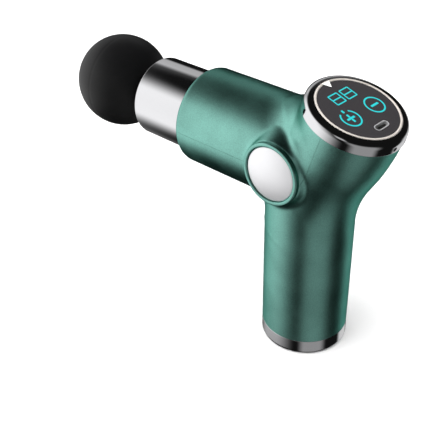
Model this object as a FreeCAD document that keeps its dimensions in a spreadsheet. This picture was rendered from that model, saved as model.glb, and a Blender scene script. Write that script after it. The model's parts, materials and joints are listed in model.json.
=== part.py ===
"""Mini massage gun with a ball head, built around its battery, motor and crank.

Frame: +Z up along the handle, origin at the centre of the flat base, the head points to -X
and the display faces up and to the rear (+X). The left side is -Y, the motor is on the right.
Rest pose: plunger fully in, crank pin at its rear dead centre.
"""
import FreeCAD
import Part
import math
import os
import re
import Sketcher

DRIVING_SIZES = {
    # battery pack and handle
    "cell_radius": 9.15,
    "cell_length": 65.0,
    "cell_gap": 0.3,
    "pack_clearance": 1.55,
    "wall": 2.0,
    "base_cap_height": 8.0,
    "base_cap_round": 1.5,
    "base_cap_wall": 1.9,
    "base_floor": 3.0,
    "base_pad_thickness": 1.5,
    "base_pad_radius": 16.0,
    "base_screw_circle": 12.8,
    "holder_fit": 0.15,
    "holder_plate": 2.0,
    "holder_lip": 3.0,
    "top_plate": 3.0,
    "tab_thickness": 0.3,
    "lead_space": 10.6,
    # barrel and nose
    "barrel_reach": 62.4,
    "axis_offset": 4.4,
    "front_wall": 6.2,
    "rim_round": 2.0,
    "sleeve_radius": 20.8,
    "sleeve_wall": 1.5,
    "sleeve_reach": 33.6,
    "sleeve_flange": 1.8,
    "flange_length": 3.0,
    "rib_length": 2.5,
    "slip_fit": 0.1,
    "collar_length": 5.2,
    # hub and display
    "display_tilt": 19.1,
    "hub_drop": 32.5,
    "hub_length": 68.15,
    "hub_swell": 14.0,
    "hub_taper": 5.7,
    "hub_depth": 58.0,
    "lens_radius": 18.8,
    "lens_thickness": 1.2,
    "trim_width": 1.1,
    "trim_rise": 0.2,
    "bezel_width": 4.2,
    "bezel_height": 5.9,
    "bezel_round": 2.4,
    "bezel_lean": 0.5,
    "bezel_step": 0.4,
    "bezel_skirt": 4.1,
    "set_screw_radius": 1.0,
    "set_screw_drop": 3.9,
    "board_depth": 9.4,
    "board_thickness": 1.6,
    "icon_radius": 4.75,
    "icon_side": 8.75,
    "icon_back": 2.4,
    "stroke_width": 0.9,
    "digit_size": 6.3,
    "digit_side": 4.0,
    "digit_front": 9.2,
    "port_back": 12.75,
    "port_width": 8.94,
    "port_height": 3.26,
    "port_wall": 0.3,
    # side caps
    "cap_radius": 13.3,
    "cap_gap": 0.2,
    "cap_rim": 1.9,
    "cap_dome": 150.0,
    "cap_face": 27.4,
    "ring_face": 26.9,
    "boss_face": 25.0,
    "boss_flare": 4.2,
    "boss_depth": 7.5,
    "recess_floor": 23.6,
    "pocket_face": 21.6,
    "screw_land": 0.9,
    # motor and crank
    "can_radius": 14.0,
    "can_wall": 1.0,
    "can_length": 12.2,
    "magnet_thickness": 1.1,
    "air_gap": 0.5,
    "pocket_gap": 0.6,
    "shaft_radius": 2.0,
    "bearing_radius": 5.0,
    "bearing_width": 4.0,
    "bearing_fit": 0.03,
    "mount_hub_wall": 1.6,
    "mount_plate": 2.2,
    "crank_throw": 3.0,
    "crank_pin_radius": 2.5,
    "web_radius": 7.0,
    "weight_radius": 12.0,
    "web_gap": 0.5,
    "inner_web": 3.5,
    "outer_web": 2.5,
    # rod, plunger and head
    "rod_half_width": 2.4,
    "rod_bearing_radius": 6.0,
    "rod_eye_wall": 2.0,
    "rod_length": 34.0,
    "rod_frame": 1.5,
    "wrist_pin_radius": 1.5,
    "wrist_clearance": 0.2,
    "plunger_radius": 11.5,
    "plunger_wall": 1.6,
    "plunger_skirt": 7.0,
    "plunger_fit": 0.04,
    "bush_wall": 2.1,
    "guide_wall": 2.0,
    "socket_radius": 8.05,
    "socket_depth": 24.0,
    "socket_fit": 0.1,
    "ball_radius": 25.0,
    "ball_gap": 6.5,
    "plug_radius": 9.0,
    "screw_radius": 1.1,
    "screw_head": 2.2,
    # small clearances, seats and fasteners
    "screw_seat": 0.8,
    "screw_stop": 0.5,
    "holder_skirt": 1.1,
    "post_wall": 1.4,
    "guard_length": 14.0,
    "guard_width": 12.0,
    "guard_thickness": 1.2,
    "cell_tip": 1.0,
    "tip_radius": 3.0,
    "tab_width": 7.0,
    "lead_window": 8.0,
    "lead_place": 10.0,
    "sleeve_round": 0.4,
    "collar_gap": 0.4,
    "wiper_depth": 1.7,
    "wiper_inset": 1.2,
    "wiper_width": 2.0,
    "guide_flange": 3.0,
    "ledge_thickness": 1.6,
    "ledge_width": 1.0,
    "skirt_taper": 0.6,
    "set_screw_sink": 0.6,
    "set_screw_key": 2.0,
    "marker_radius": 2.4,
    "marker_height": 0.25,
    "marker_inset": 1.3,
    "port_gap": 0.15,
    "port_sink": 0.3,
    "port_floor": 1.0,
    "tongue_thickness": 0.7,
    "tongue_width": 6.7,
    "tongue_sink": 0.8,
    "spacer_gap": 0.05,
    "spacer_inset": 1.2,
    "spacer_rim": 2.4,
    "spacer_drop": 4.0,
    "guide_height": 2.0,
    "frame_floor": 3.0,
    "frame_lip": 2.4,
    "small_screw": 0.7,
    "small_head": 1.2,
    "small_grip": 2.5,
    "cap_spigot": 1.3,
    "cap_step": 0.9,
    "cap_seat": 0.4,
    "ring_round": 0.5,
    "mount_screw_head": 1.2,
    "key_radius": 0.9,
    "hub_draft": 0.6,
    "hub_gap": 1.6,
    "shaft_gap": 0.3,
    "shaft_start": 0.7,
    "plate_gap": 0.8,
    "plate_rest": 1.5,
    "core_start": 3.0,
    "core_stop": 2.0,
    "coil_radius": 1.1,
    "coil_end": 1.2,
    "can_floor": 1.2,
    "pin_sink": 0.3,
    "socket_step": 1.5,
    "socket_floor": 3.0,
    "rod_gap": 1.5,
    "stem_gap": 0.3,
    "stem_short": 1.5,
    "stem_collar": 2.5,
    "collar_width": 3.5,
    "plug_start": 4.0,
    "plug_cover": 3.0,
    "seal_seat": 1.15,
    "seal_width": 1.4,
    "seal_sink": 0.55,
    "seal_radius": 0.6,
}

# Named formulas worked out from the driving sizes.
FORMULAS = {
    "handle_inner": "2 * cell_radius + cell_gap / 2 + pack_clearance",
    "handle_radius": "handle_inner + wall",
    "cell_floor": "base_cap_height + holder_plate + tab_thickness",
    "cell_top": "cell_floor + cell_length",
    "pack_top": "cell_top + tab_thickness + top_plate",
    "axis_height": "pack_top + lead_space + can_radius",
    "holder_radius": "handle_inner - holder_fit",
    "motor_x": "0 - axis_offset",
    "rim_x": "motor_x - barrel_reach",
    "sleeve_front": "rim_x - sleeve_reach",
    "barrel_inner": "sleeve_radius + sleeve_flange + 3 * slip_fit",
    "barrel_radius": "barrel_inner + wall",
    "flange_x": "rim_x + front_wall",
    "rib_x": "flange_x + flange_length + 2 * slip_fit",
    "sleeve_inner": "sleeve_radius - sleeve_wall",
    "guide_radius": "plunger_radius + plunger_fit + bush_wall",
    "glass_x": "hub_length * sin(display_tilt)",
    "glass_z": "axis_height - hub_drop + hub_length * cos(display_tilt)",
    "trim_outer": "lens_radius + trim_width",
    "bezel_radius": "trim_outer + bezel_width",
    "hub_radius": "bezel_radius - bezel_step",
    "skirt_inner": "trim_outer + bezel_step",
    "board_radius": "lens_radius - marker_inset",
    "ring_radius": "cap_radius + cap_gap + cap_rim",
    "pocket_radius": "can_radius + pocket_gap",
    "recess_radius": "cap_radius - cap_step",
    "mount_screw_circle": "recess_radius - cap_spigot - screw_head - screw_land",
    "stator_radius": "can_radius - can_wall - magnet_thickness - air_gap",
    "web_face": "rod_half_width + web_gap",
    "can_face": "web_face + inner_web + web_gap / 2",
    "can_end": "can_face + can_length",
    "mount_face": "pocket_face - mount_plate",
    "mount_hub": "bearing_radius + mount_hub_wall",
    "pin_x": "motor_x + crank_throw",
    "wrist_x": "pin_x - rod_length",
    "window_half_x": "0.2105 * crank_throw + wrist_pin_radius + wrist_clearance",
    "window_half_z": "crank_throw + wrist_pin_radius + wrist_clearance",
    "skirt_bore": "plunger_radius - plunger_wall",
    "ball_x": "sleeve_front - ball_gap - ball_radius",
    "stem_radius": "socket_radius - socket_fit",
}

ALONG = {
    "X": FreeCAD.Rotation(FreeCAD.Vector(0, 1, 0), 90),
    "Y": FreeCAD.Rotation(FreeCAD.Vector(1, 0, 0), -90),
    "Z": FreeCAD.Rotation(),
}
SIDES = {"left": -1, "right": 1}
BASE_SCREWS_FROM = 90.0
BOARD_SCREWS_FROM = 60.0
MOUNT_SCREWS_FROM = 45.0
SET_SCREW_ANGLES = (-6.0, -126.0, 114.0)
SEAL_PLACES = (6.0, 13.0)
COIL_COUNT = 12
MAGNET_SPLITS = 7
WORD = re.compile(r"[a-z][a-z_]*[a-z]")

doc = FreeCAD.newDocument("MassageGun")
sheet = doc.addObject("Spreadsheet::Sheet", "Sizes")
for row, (alias, number) in enumerate(DRIVING_SIZES.items(), start=1):
    sheet.set("A%d" % row, alias.replace("_", " "))
    sheet.set("B%d" % row, str(number))
    sheet.setAlias("B%d" % row, alias)
doc.recompute()

nodes = []


# ---------------------------------------------------------------- expressions and placing

def formula(text):
    """Write a formula of size names as an expression on the sheet's cells."""
    def swap(match):
        word = match.group(0)
        if word in FORMULAS:
            return "(" + formula(FORMULAS[word]) + ")"
        if word in DRIVING_SIZES:
            return "Sizes." + word
        return word
    return WORD.sub(swap, str(text))


def value(text):
    """Give the number that a formula has now."""
    return float(sheet.evalExpression(formula(text)))


def bind(item, **sizes):
    """Tie properties of an object to formulas."""
    for name, text in sizes.items():
        item.setExpression(name, formula(text))


def place(item, x="0", y="0", z="0", turn=None):
    """Place an object at a point given by formulas, with a fixed turn."""
    item.Placement = FreeCAD.Placement(FreeCAD.Vector(), turn or FreeCAD.Rotation())
    for letter, text in (("x", x), ("y", y), ("z", z)):
        if text != "0":
            item.setExpression("Placement.Base." + letter, formula(text))
    return item


def on_hub(item, depth="0"):
    """Stand an object on the hub's tilted axis, at a depth below the glass."""
    tilt = FreeCAD.Rotation(FreeCAD.Vector(0, 1, 0), value("display_tilt"))
    place(item, "glass_x - (%s) * sin(display_tilt)" % depth, "0",
          "glass_z - (%s) * cos(display_tilt)" % depth, tilt)
    item.setExpression("Placement.Rotation.Angle", formula("display_tilt"))
    return item


def node(item, name):
    """Take an object as a finished sub-part."""
    item.Label = name
    nodes.append(item)
    return item


# ---------------------------------------------------------------- solids

def cylinder(radius, length, x="0", y="0", z="0", along="Z"):
    item = doc.addObject("Part::Cylinder", "Cylinder")
    bind(item, Radius=radius, Height=length)
    return place(item, x, y, z, ALONG[along])


def cone(low_radius, high_radius, length):
    item = doc.addObject("Part::Cone", "Cone")
    bind(item, Radius1=low_radius, Radius2=high_radius, Height=length)
    return item


def sphere(radius, x="0", y="0", z="0"):
    item = doc.addObject("Part::Sphere", "Sphere")
    bind(item, Radius=radius)
    return place(item, x, y, z)


def box(length, width, height, x="0", y="0", z="0"):
    item = doc.addObject("Part::Box", "Box")
    bind(item, Length=length, Width=width, Height=height)
    return place(item, x, y, z)


def centred_box(length, width, height, x="0", y="0", z="0"):
    return box(length, width, height, "%s - (%s) / 2" % (x, length),
               "%s - (%s) / 2" % (y, width), "%s - (%s) / 2" % (z, height))


def fuse(*items):
    item = doc.addObject("Part::MultiFuse", "Fusion")
    item.Shapes = list(items)
    return item


def common(*items):
    item = doc.addObject("Part::MultiCommon", "Common")
    item.Shapes = list(items)
    return item


def group(*items):
    item = doc.addObject("Part::Compound", "Group")
    item.Links = list(items)
    return item


def cut(base, *tools):
    item = doc.addObject("Part::Cut", "Cut")
    item.Base = base
    item.Tool = tools[0] if len(tools) == 1 else group(*tools)
    return item


def ring(outer, inner, length, x="0", y="0", z="0", along="Z"):
    return cut(cylinder(outer, length, x, y, z, along), cylinder(inner, length, x, y, z, along))


def around(count, radius, first=0.0):
    """Give the sine and cosine offsets of places evenly spaced on a circle."""
    for index in range(count):
        angle = math.radians(first + 360.0 * index / count)
        yield ("(%s) * %.6f" % (radius, math.cos(angle)), "(%s) * %.6f" % (radius, math.sin(angle)))


# ---------------------------------------------------------------- turned pieces

PROFILE_PLANES = {"X": "XZ_Plane", "Y": "XY_Plane", "Z": "XZ_Plane"}


def turned(name, along, corners):
    """Make a PartDesign body turned about X, Y or Z from (distance along, radius) corners."""
    body = doc.addObject("PartDesign::Body", name + "_body")
    sketch = body.newObject("Sketcher::SketchObject", name + "_profile")
    plane = [f for f in body.Origin.OriginFeatures if f.Role == PROFILE_PLANES[along]][0]
    sketch.AttachmentSupport = [(plane, "")]
    sketch.MapMode = "FlatFace"
    if along != "X":
        corners = [(radius, distance) for distance, radius in corners]
    spots = [FreeCAD.Vector(value(across), value(up), 0) for across, up in corners]
    count = len(spots)
    for index in range(count):
        sketch.addGeometry(Part.LineSegment(spots[index], spots[(index + 1) % count]), False)
    for index in range(count):
        sketch.addConstraint(Sketcher.Constraint("Coincident", index, 2, (index + 1) % count, 1))
    for index, (across, up) in enumerate(corners):
        hold(sketch, index, "DistanceX", across, -2)
        hold(sketch, index, "DistanceY", up, -1)
    turn = body.newObject("PartDesign::Revolution", name + "_turn")
    turn.Profile = sketch
    turn.ReferenceAxis = (sketch, ["H_Axis" if along == "X" else "V_Axis"])
    turn.Angle = 360
    body.Tip = turn
    doc.recompute()
    return body


def hold(sketch, corner, kind, text, axis):
    """Hold one coordinate of a sketch corner to a formula, or to the axis where it is 0."""
    if text == "0":
        sketch.addConstraint(Sketcher.Constraint("PointOnObject", corner, 1, axis))
        return
    index = sketch.addConstraint(Sketcher.Constraint(kind, -1, 1, corner, 1, value(text)))
    label = "%s_%d" % (kind, corner)
    sketch.renameConstraint(index, label)
    sketch.setExpression("Constraints." + label, formula(text))


def rounded(body, name, radius, along, distance, circle):
    """Round the edge of a turned body that runs at a distance along its axis."""
    level, reach = value(distance), value(circle)
    names = []
    sharp = body.Tip
    for number, edge in enumerate(sharp.Shape.Edges, start=1):
        curve = edge.Curve
        if not isinstance(curve, Part.Circle) or abs(curve.Radius - reach) > 0.01:
            continue
        if abs(getattr(curve.Center, along.lower()) - level) < 0.01:
            names.append("Edge%d" % number)
    fillet = body.newObject("PartDesign::Fillet", name + "_round")
    fillet.Base = (sharp, names)
    bind(fillet, Radius=radius)
    body.Tip = fillet
    doc.recompute()
    return body


# ---------------------------------------------------------------- housing shells

def hub_solid(inset):
    """Swelling upper and tapering lower stretch of the tilted hub, inset by a wall."""
    upper = cone("hub_radius - hub_draft - (%s)" % inset, "hub_radius - (%s)" % inset,
                 "hub_swell + (%s) * 2" % inset)
    on_hub(upper, "bezel_height + hub_swell")
    lower = cone("hub_radius - hub_draft - hub_taper - (%s)" % inset,
                 "hub_radius - hub_draft - (%s)" % inset,
                 "hub_depth - bezel_height - hub_swell")
    on_hub(lower, "hub_depth")
    return upper, lower


def boss(side):
    """Flared round boss that carries a side cap."""
    item = cone("ring_radius + boss_flare", "ring_radius", "boss_depth")
    turn = FreeCAD.Rotation(FreeCAD.Vector(1, 0, 0), -90 * side)
    return place(item, "motor_x", "%d * (boss_face - boss_depth)" % side, "axis_height", turn)


def side_cylinder(side, radius, start, end, x="0", z="0"):
    """Cylinder along Y on the motor axis, between two distances from the middle plane."""
    low = start if side > 0 else "0 - (%s)" % end
    return cylinder(radius, "(%s) - (%s)" % (end, start), "motor_x + " + x, low,
                    "axis_height + " + z, "Y")


def mount_screw_places():
    return around(4, "mount_screw_circle", MOUNT_SCREWS_FROM)


def housing_outer():
    upper, lower = hub_solid("0")
    handle = cylinder("handle_radius", "axis_height - base_cap_height", z="base_cap_height")
    barrel = cylinder("barrel_radius", "0 - rim_x", "rim_x", "0", "axis_height", "X")
    rear = sphere("barrel_radius", "0", "0", "axis_height")
    solid = fuse(handle, barrel, rear, upper, lower, boss(-1), boss(1))
    doc.recompute()
    edges = [number for number, edge in enumerate(solid.Shape.Edges, start=1)
             if isinstance(edge.Curve, Part.Circle)
             and abs(edge.Curve.Center.x - value("rim_x")) < 0.01]
    fillet = doc.addObject("Part::Fillet", "RimRound")
    fillet.Base = solid
    fillet.Edges = [(number, value("rim_round"), value("rim_round")) for number in edges]
    return fillet


def housing_tools():
    """Solids taken out of the housing one after another: the cavities, recesses and holes."""
    upper, lower = hub_solid("wall")
    handle = cylinder("handle_inner", "axis_height - base_cap_height + 1", z="base_cap_height - 1")
    barrel = cylinder("barrel_inner", "0 - flange_x", "flange_x", "0", "axis_height", "X")
    pads = [side_cylinder(side, "pocket_radius + 1", "pocket_face", "boss_face") for side in (-1, 1)]
    rib = ring("barrel_inner + wall / 2", "guide_radius + guide_wall + 1", "rib_length",
               "rib_x", "0", "axis_height", "X")
    pocket = cylinder("pocket_radius", "2 * pocket_face", "motor_x", "0 - pocket_face",
                      "axis_height", "Y")
    mouth = cylinder("sleeve_radius + slip_fit", "front_wall + 2", "rim_x - 1", "0",
                     "axis_height", "X")
    tools = [cut(barrel, rib, *pads), handle, upper, lower, pocket, mouth]
    for side in (-1, 1):
        tools.append(side_cylinder(side, "ring_radius", "boss_face", "2 * boss_face"))
        tools.append(side_cylinder(side, "recess_radius", "recess_floor", "boss_face + 1"))
        for across, up in mount_screw_places():
            tools.append(side_cylinder(side, "screw_radius", "pocket_face - 1",
                                       "recess_floor + 1", across, up))
    return tools


def housing_shells():
    body = housing_outer()
    for tool in housing_tools():
        body = cut(body, tool)
    above = box("400", "200", "200", "0 - 300", "0 - 100", "axis_height")
    ahead = on_hub(box("300", "200", "400"), "0")
    ahead.setExpression("Placement.Base.x", formula("glass_x - 300 * cos(display_tilt)"
                                                    " - 200 * sin(display_tilt)"))
    ahead.setExpression("Placement.Base.y", "-100")
    ahead.setExpression("Placement.Base.z", formula("glass_z + 300 * sin(display_tilt)"
                                                    " - 200 * cos(display_tilt)"))
    wedge = common(above, ahead)
    node(common(body, wedge), "upper_shell")
    node(cut(body, wedge), "lower_shell")


# ---------------------------------------------------------------- base and battery

def base_screw_places():
    return around(3, "base_screw_circle", BASE_SCREWS_FROM)


def base_cap():
    body = turned("base_cap", "Z", [
        ("0", "base_pad_radius + slip_fit"), ("0", "handle_radius"),
        ("base_cap_height", "handle_radius"), ("base_cap_height", "handle_radius - base_cap_wall"),
        ("base_floor", "handle_radius - base_cap_wall"), ("base_floor", "0"),
        ("base_pad_thickness", "0"), ("base_pad_thickness", "base_pad_radius + slip_fit")])
    rounded(body, "base_cap", "base_cap_round", "Z", "0", "handle_radius")
    holes = []
    for x, y in base_screw_places():
        holes.append(cylinder("screw_head + slip_fit", "screw_seat", x, y, "base_pad_thickness"))
        holes.append(cylinder("screw_radius", "base_floor", x, y, "base_pad_thickness"))
    node(cut(body, *holes), "base_cap")
    node(cylinder("base_pad_radius", "base_pad_thickness"), "base_pad")
    screws = []
    for x, y in base_screw_places():
        head = cylinder("screw_head", "screw_seat", x, y, "base_pad_thickness")
        shank = cylinder("screw_radius", "base_cap_height - base_pad_thickness - screw_stop", x, y,
                         "base_pad_thickness")
        screws.append(fuse(head, shank))
    node(group(*screws), "base_screws")


def battery():
    plate = cylinder("holder_radius", "holder_plate", z="base_cap_height")
    skirt = ring("holder_radius", "holder_radius - holder_skirt", "cell_floor + holder_lip - base_floor",
                 z="base_floor")
    posts = [cylinder("screw_radius + post_wall", "base_cap_height - base_floor", x, y, "base_floor")
             for x, y in base_screw_places()]
    pilots = [cylinder("screw_radius", "base_cap_height - base_floor", x, y, "base_floor")
              for x, y in base_screw_places()]
    node(cut(fuse(plate, skirt, *posts), *pilots), "lower_cell_holder")
    node(centred_box("guard_length", "guard_width", "guard_thickness",
                     z="base_cap_height - guard_thickness / 2"), "protection_board")
    spacing = "(cell_radius + cell_gap / 2)"
    cells = []
    for sign in (-1, 1):
        side = "%d * %s" % (sign, spacing)
        can = cylinder("cell_radius", "cell_length - cell_tip", "0", side,
                       "cell_floor" if sign < 0 else "cell_floor + cell_tip")
        tip = cylinder("tip_radius", "cell_length", "0", side, "cell_floor")
        cells.append(fuse(can, tip))
    node(group(*cells), "battery_cells")
    link = centred_box("tab_width", "2 * cell_radius", "tab_thickness", z="cell_floor - tab_thickness / 2")
    tabs = [centred_box("tab_width", "tab_width", "tab_thickness", "0", "%d * %s" % (sign, spacing),
                        "cell_top + tab_thickness / 2") for sign in (-1, 1)]
    node(group(link, *tabs), "cell_tabs")
    top = cylinder("holder_radius", "top_plate", z="cell_top + tab_thickness")
    lip = ring("holder_radius", "holder_radius - holder_skirt", "holder_lip",
               z="cell_top + tab_thickness - holder_lip")
    window = centred_box("lead_window", "0.75 * lead_window", "2 * top_plate",
                         "lead_place", "0", "pack_top - top_plate / 2")
    node(cut(fuse(top, lip), window), "upper_cell_holder")


# ---------------------------------------------------------------- nose and guide

def at_barrel(body):
    return place(body, "0", "0", "axis_height")


def nose():
    sleeve = turned("nose_sleeve", "X", [
        ("sleeve_front", "sleeve_inner"), ("sleeve_front", "sleeve_radius"),
        ("flange_x + slip_fit", "sleeve_radius"),
        ("flange_x + slip_fit", "sleeve_radius + sleeve_flange"),
        ("rib_x - slip_fit", "sleeve_radius + sleeve_flange"), ("rib_x - slip_fit", "sleeve_inner")])
    rounded(sleeve, "nose_sleeve", "sleeve_round", "X", "sleeve_front", "sleeve_radius")
    node(at_barrel(sleeve), "nose_sleeve")
    bore = "plunger_radius + collar_gap"
    groove = "plunger_radius + wiper_depth"
    wiper_start = "sleeve_front + wiper_inset"
    wiper_end = wiper_start + " + wiper_width"
    collar = turned("nose_collar", "X", [
        ("sleeve_front", bore), ("sleeve_front", "sleeve_inner - slip_fit / 2"),
        ("sleeve_front + collar_length", "sleeve_inner - slip_fit / 2"),
        ("sleeve_front + collar_length", bore), (wiper_end, bore),
        (wiper_end, groove), (wiper_start, groove), (wiper_start, bore)])
    node(at_barrel(collar), "nose_collar")
    wiper = ring(groove, "plunger_radius + plunger_fit", "wiper_width", wiper_start, "0",
                 "axis_height", "X")
    node(wiper, "plunger_wiper")
    start = "(sleeve_front + collar_length)"
    end = "(rib_x - slip_fit)"
    flange = "sleeve_inner - slip_fit / 2"
    spool = turned("guide_housing", "X", [
        (start, "guide_radius"), (start, flange), (start + " + guide_flange", flange),
        (start + " + guide_flange", "guide_radius + guide_wall"),
        (end + " - guide_flange", "guide_radius + guide_wall"),
        (end + " - guide_flange", flange), (end, flange), (end, "guide_radius")])
    node(at_barrel(spool), "guide_housing")
    bush = ring("guide_radius", "plunger_radius + plunger_fit", end + " - " + start, start, "0",
                "axis_height", "X")
    node(bush, "guide_bush")


# ---------------------------------------------------------------- display

def digit_bars(side, depth, height):
    """Seven bars of one digit, whose top is towards the head."""
    half = "(digit_size - stroke_width) / 2"
    middle = "%d * digit_side" % side
    bars = []
    for step in (-1, 0, 1):
        bars.append(centred_box("stroke_width", "digit_size - 2.4 * stroke_width", height,
                                "0 - digit_front + %d * %s" % (step, half), middle, depth))
    length = "%s - 1.4 * stroke_width" % half
    for step in (-1, 1):
        for edge in (-1, 1):
            bars.append(centred_box(length, "stroke_width", height,
                                    "0 - digit_front + %d * %s / 2" % (step, half),
                                    "%s + %d * %s" % (middle, edge, half), depth))
    return bars


def icon_bars(depth, height):
    """Round minus and plus icons; the plus icon has a power gap at its front."""
    low = "(%s) - (%s) / 2" % (depth, height)
    items = []
    for side in (-1, 1):
        place_y = "%d * icon_side" % side
        circle = ring("icon_radius + stroke_width / 2", "icon_radius - stroke_width / 2", height,
                      "icon_back", place_y, low)
        bar = centred_box("stroke_width", "1.1 * icon_radius", height, "icon_back", place_y, depth)
        if side > 0:
            items += [circle, bar]
            continue
        gap = centred_box("icon_radius", "3 * stroke_width", "2 * (%s)" % height,
                          "icon_back - icon_radius", place_y, depth)
        items.append(cut(circle, gap))
        stem = centred_box("1.1 * icon_radius", "stroke_width", height, "icon_back", place_y, depth)
        items.append(fuse(bar, stem))
        items.append(centred_box("0.4 * icon_radius", "stroke_width", height,
                                 "icon_back - icon_radius", place_y, depth))
    return items


def port_outline(grow, low, height):
    """Stadium-shaped block on the port's place, grown all round."""
    half = "(port_height / 2 + %s)" % grow
    reach = "(port_width / 2 - port_height / 2)"
    ends = [cylinder(half, height, "port_back", "%d * %s" % (side, reach), low) for side in (-1, 1)]
    middle = box("2 * " + half, "2 * " + reach, height, "port_back - " + half, "0 - " + reach, low)
    return fuse(middle, *ends)


def display():
    ledge = "lens_thickness"
    bezel = turned("bezel", "Z", [
        ("0 - lens_thickness - ledge_thickness", "lens_radius - ledge_width"),
        ("0 - lens_thickness", "lens_radius - ledge_width"),
        ("0 - lens_thickness", "trim_outer + slip_fit"), ("0", "trim_outer + slip_fit"),
        ("0", "bezel_radius - bezel_lean"), ("0 - bezel_height", "bezel_radius"),
        ("0 - bezel_height", "hub_radius - wall - 2 * slip_fit"),
        ("0 - bezel_height - bezel_skirt", "hub_radius - wall - slip_fit - skirt_taper"),
        ("0 - bezel_height - bezel_skirt", "skirt_inner"),
        ("0 - lens_thickness - ledge_thickness", "skirt_inner")])
    rounded(bezel, "bezel", "bezel_round", "Z", "0", "bezel_radius - bezel_lean")
    holes = []
    screws = []
    for angle in SET_SCREW_ANGLES:
        turn = FreeCAD.Rotation(FreeCAD.Vector(0, 0, 1), angle).multiply(ALONG["X"])
        for radius, length, items in (("set_screw_radius", "bezel_radius", holes),
                                      ("set_screw_radius", "bezel_width - 2 * set_screw_sink", screws)):
            item = cylinder(radius, length)
            reach = "skirt_inner" if items is screws else "(skirt_inner - 1)"
            place(item, "%s * %.6f" % (reach, math.cos(math.radians(angle))),
                  "%s * %.6f" % (reach, math.sin(math.radians(angle))), "0 - set_screw_drop", turn)
            items.append(item)
    node(on_hub(cut(bezel, *holes)), "bezel")
    sockets = []
    for angle in SET_SCREW_ANGLES:
        turn = FreeCAD.Rotation(FreeCAD.Vector(0, 0, 1), angle).multiply(ALONG["X"])
        socket = cylinder("set_screw_radius / 2", "set_screw_key")
        reach = "(skirt_inner + bezel_width - set_screw_sink * 2 - set_screw_key / 2)"
        sockets.append(place(socket, "%s * %.6f" % (reach, math.cos(math.radians(angle))),
                             "%s * %.6f" % (reach, math.sin(math.radians(angle))),
                             "0 - set_screw_drop", turn))
    node(on_hub(cut(group(*screws), *sockets)), "bezel_set_screws")
    band = ring("trim_outer", "lens_radius + slip_fit / 2", "%s + trim_rise" % ledge,
                z="0 - " + ledge)
    node(on_hub(band), "trim_ring")
    marker = doc.addObject("Part::Prism", "Marker")
    marker.Polygon = 3
    bind(marker, Circumradius="marker_radius", Height="marker_height")
    place(marker, "0 - lens_radius + marker_inset", "0", "0")
    node(on_hub(group(marker)), "trim_marker")
    lens = cut(cylinder("lens_radius", ledge, z="0 - " + ledge),
               port_outline("port_gap", "0 - 2 * " + ledge, "4 * " + ledge))
    node(on_hub(lens), "display_lens")
    spacer_top = "(lens_thickness + spacer_gap)"
    spacer = fuse(cylinder("lens_radius - spacer_inset", "guide_height",
                           z="0 - %s - guide_height" % spacer_top),
                  cylinder("skirt_inner - 2 * slip_fit", "spacer_rim",
                           z="0 - lens_thickness - spacer_drop"))
    height = "guide_height"
    depth = "0 - %s - guide_height / 2" % spacer_top
    digits = digit_bars(-1, depth, height) + digit_bars(1, depth, height)
    icons = icon_bars(depth, height)
    digit_group = group(*digits)
    icon_group = group(*icons)
    hole = port_outline("slip_fit", "0 - board_depth", "board_depth")
    node(on_hub(cut(cut(cut(spacer, digit_group), icon_group), hole)), "light_spacer")
    node(on_hub(group(digit_group)), "digit_light_guides")
    node(on_hub(group(icon_group)), "icon_light_guides")
    shell_low = "0 - board_depth"
    shell_high = "board_depth - port_sink"
    port = cut(port_outline("0", shell_low, shell_high),
               port_outline("0 - port_wall", shell_low + " + port_floor", shell_high))
    node(on_hub(port), "usb_port_shell")
    tongue = box("tongue_thickness", "tongue_width", "board_depth - port_floor - tongue_sink",
                 "port_back - tongue_thickness / 2", "0 - tongue_width / 2",
                 shell_low + " + port_floor")
    node(on_hub(group(tongue)), "usb_port_tongue")


def display_electronics():
    floor = "board_depth + board_thickness"
    cup = turned("display_frame", "Z", [
        ("0 - lens_thickness - spacer_drop", "board_radius + 2 * slip_fit"),
        ("0 - lens_thickness - spacer_drop", "skirt_inner - slip_fit"),
        ("0 - (%s) - frame_floor" % floor, "skirt_inner - slip_fit"),
        ("0 - (%s) - frame_floor" % floor, "board_radius - frame_lip"),
        ("0 - (%s)" % floor, "board_radius - frame_lip"),
        ("0 - (%s)" % floor, "board_radius + 2 * slip_fit")])
    holes = []
    board_holes = []
    screws = []
    for x, y in around(3, "board_radius - frame_lip / 2", BOARD_SCREWS_FROM):
        holes.append(cylinder("small_screw", "frame_floor + 1", x, y,
                              "0 - (%s) - frame_floor" % floor))
        board_holes.append(cylinder("small_screw", "board_thickness + 2", x, y,
                                    "0 - (%s) - 1" % floor))
        head = cylinder("small_head", "screw_seat", x, y, "0 - board_depth")
        shank = cylinder("small_screw", "board_thickness + small_grip", x, y,
                         "0 - (%s) - small_grip" % floor)
        screws.append(fuse(head, shank))
    node(on_hub(cut(cup, *holes)), "display_frame")
    board = cylinder("board_radius", "board_thickness", z="0 - (%s)" % floor)
    node(on_hub(cut(board, *board_holes)), "control_board")
    node(on_hub(group(*screws)), "board_screws")
    low = "0 - (%s) - 0.55" % floor
    chips = [centred_box("7", "7", "1.1", "0 - 5", "0 - 5", low),
             centred_box("5", "5", "1.1", "0 - 4", "5", low),
             centred_box("4", "6", "1.1", "4", "0 - 6", low),
             cylinder("2.5", "5", "6", "5", "0 - (%s) - 5" % floor)]
    node(on_hub(group(*chips)), "board_components")


# ---------------------------------------------------------------- side caps

def at_motor(body, side=1):
    """Put a body turned about Y on the motor axis, facing right, or left when turned round."""
    turn = FreeCAD.Rotation(FreeCAD.Vector(0, 0, 1), 0 if side > 0 else 180)
    return place(body, "motor_x", "0", "axis_height", turn)


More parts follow.
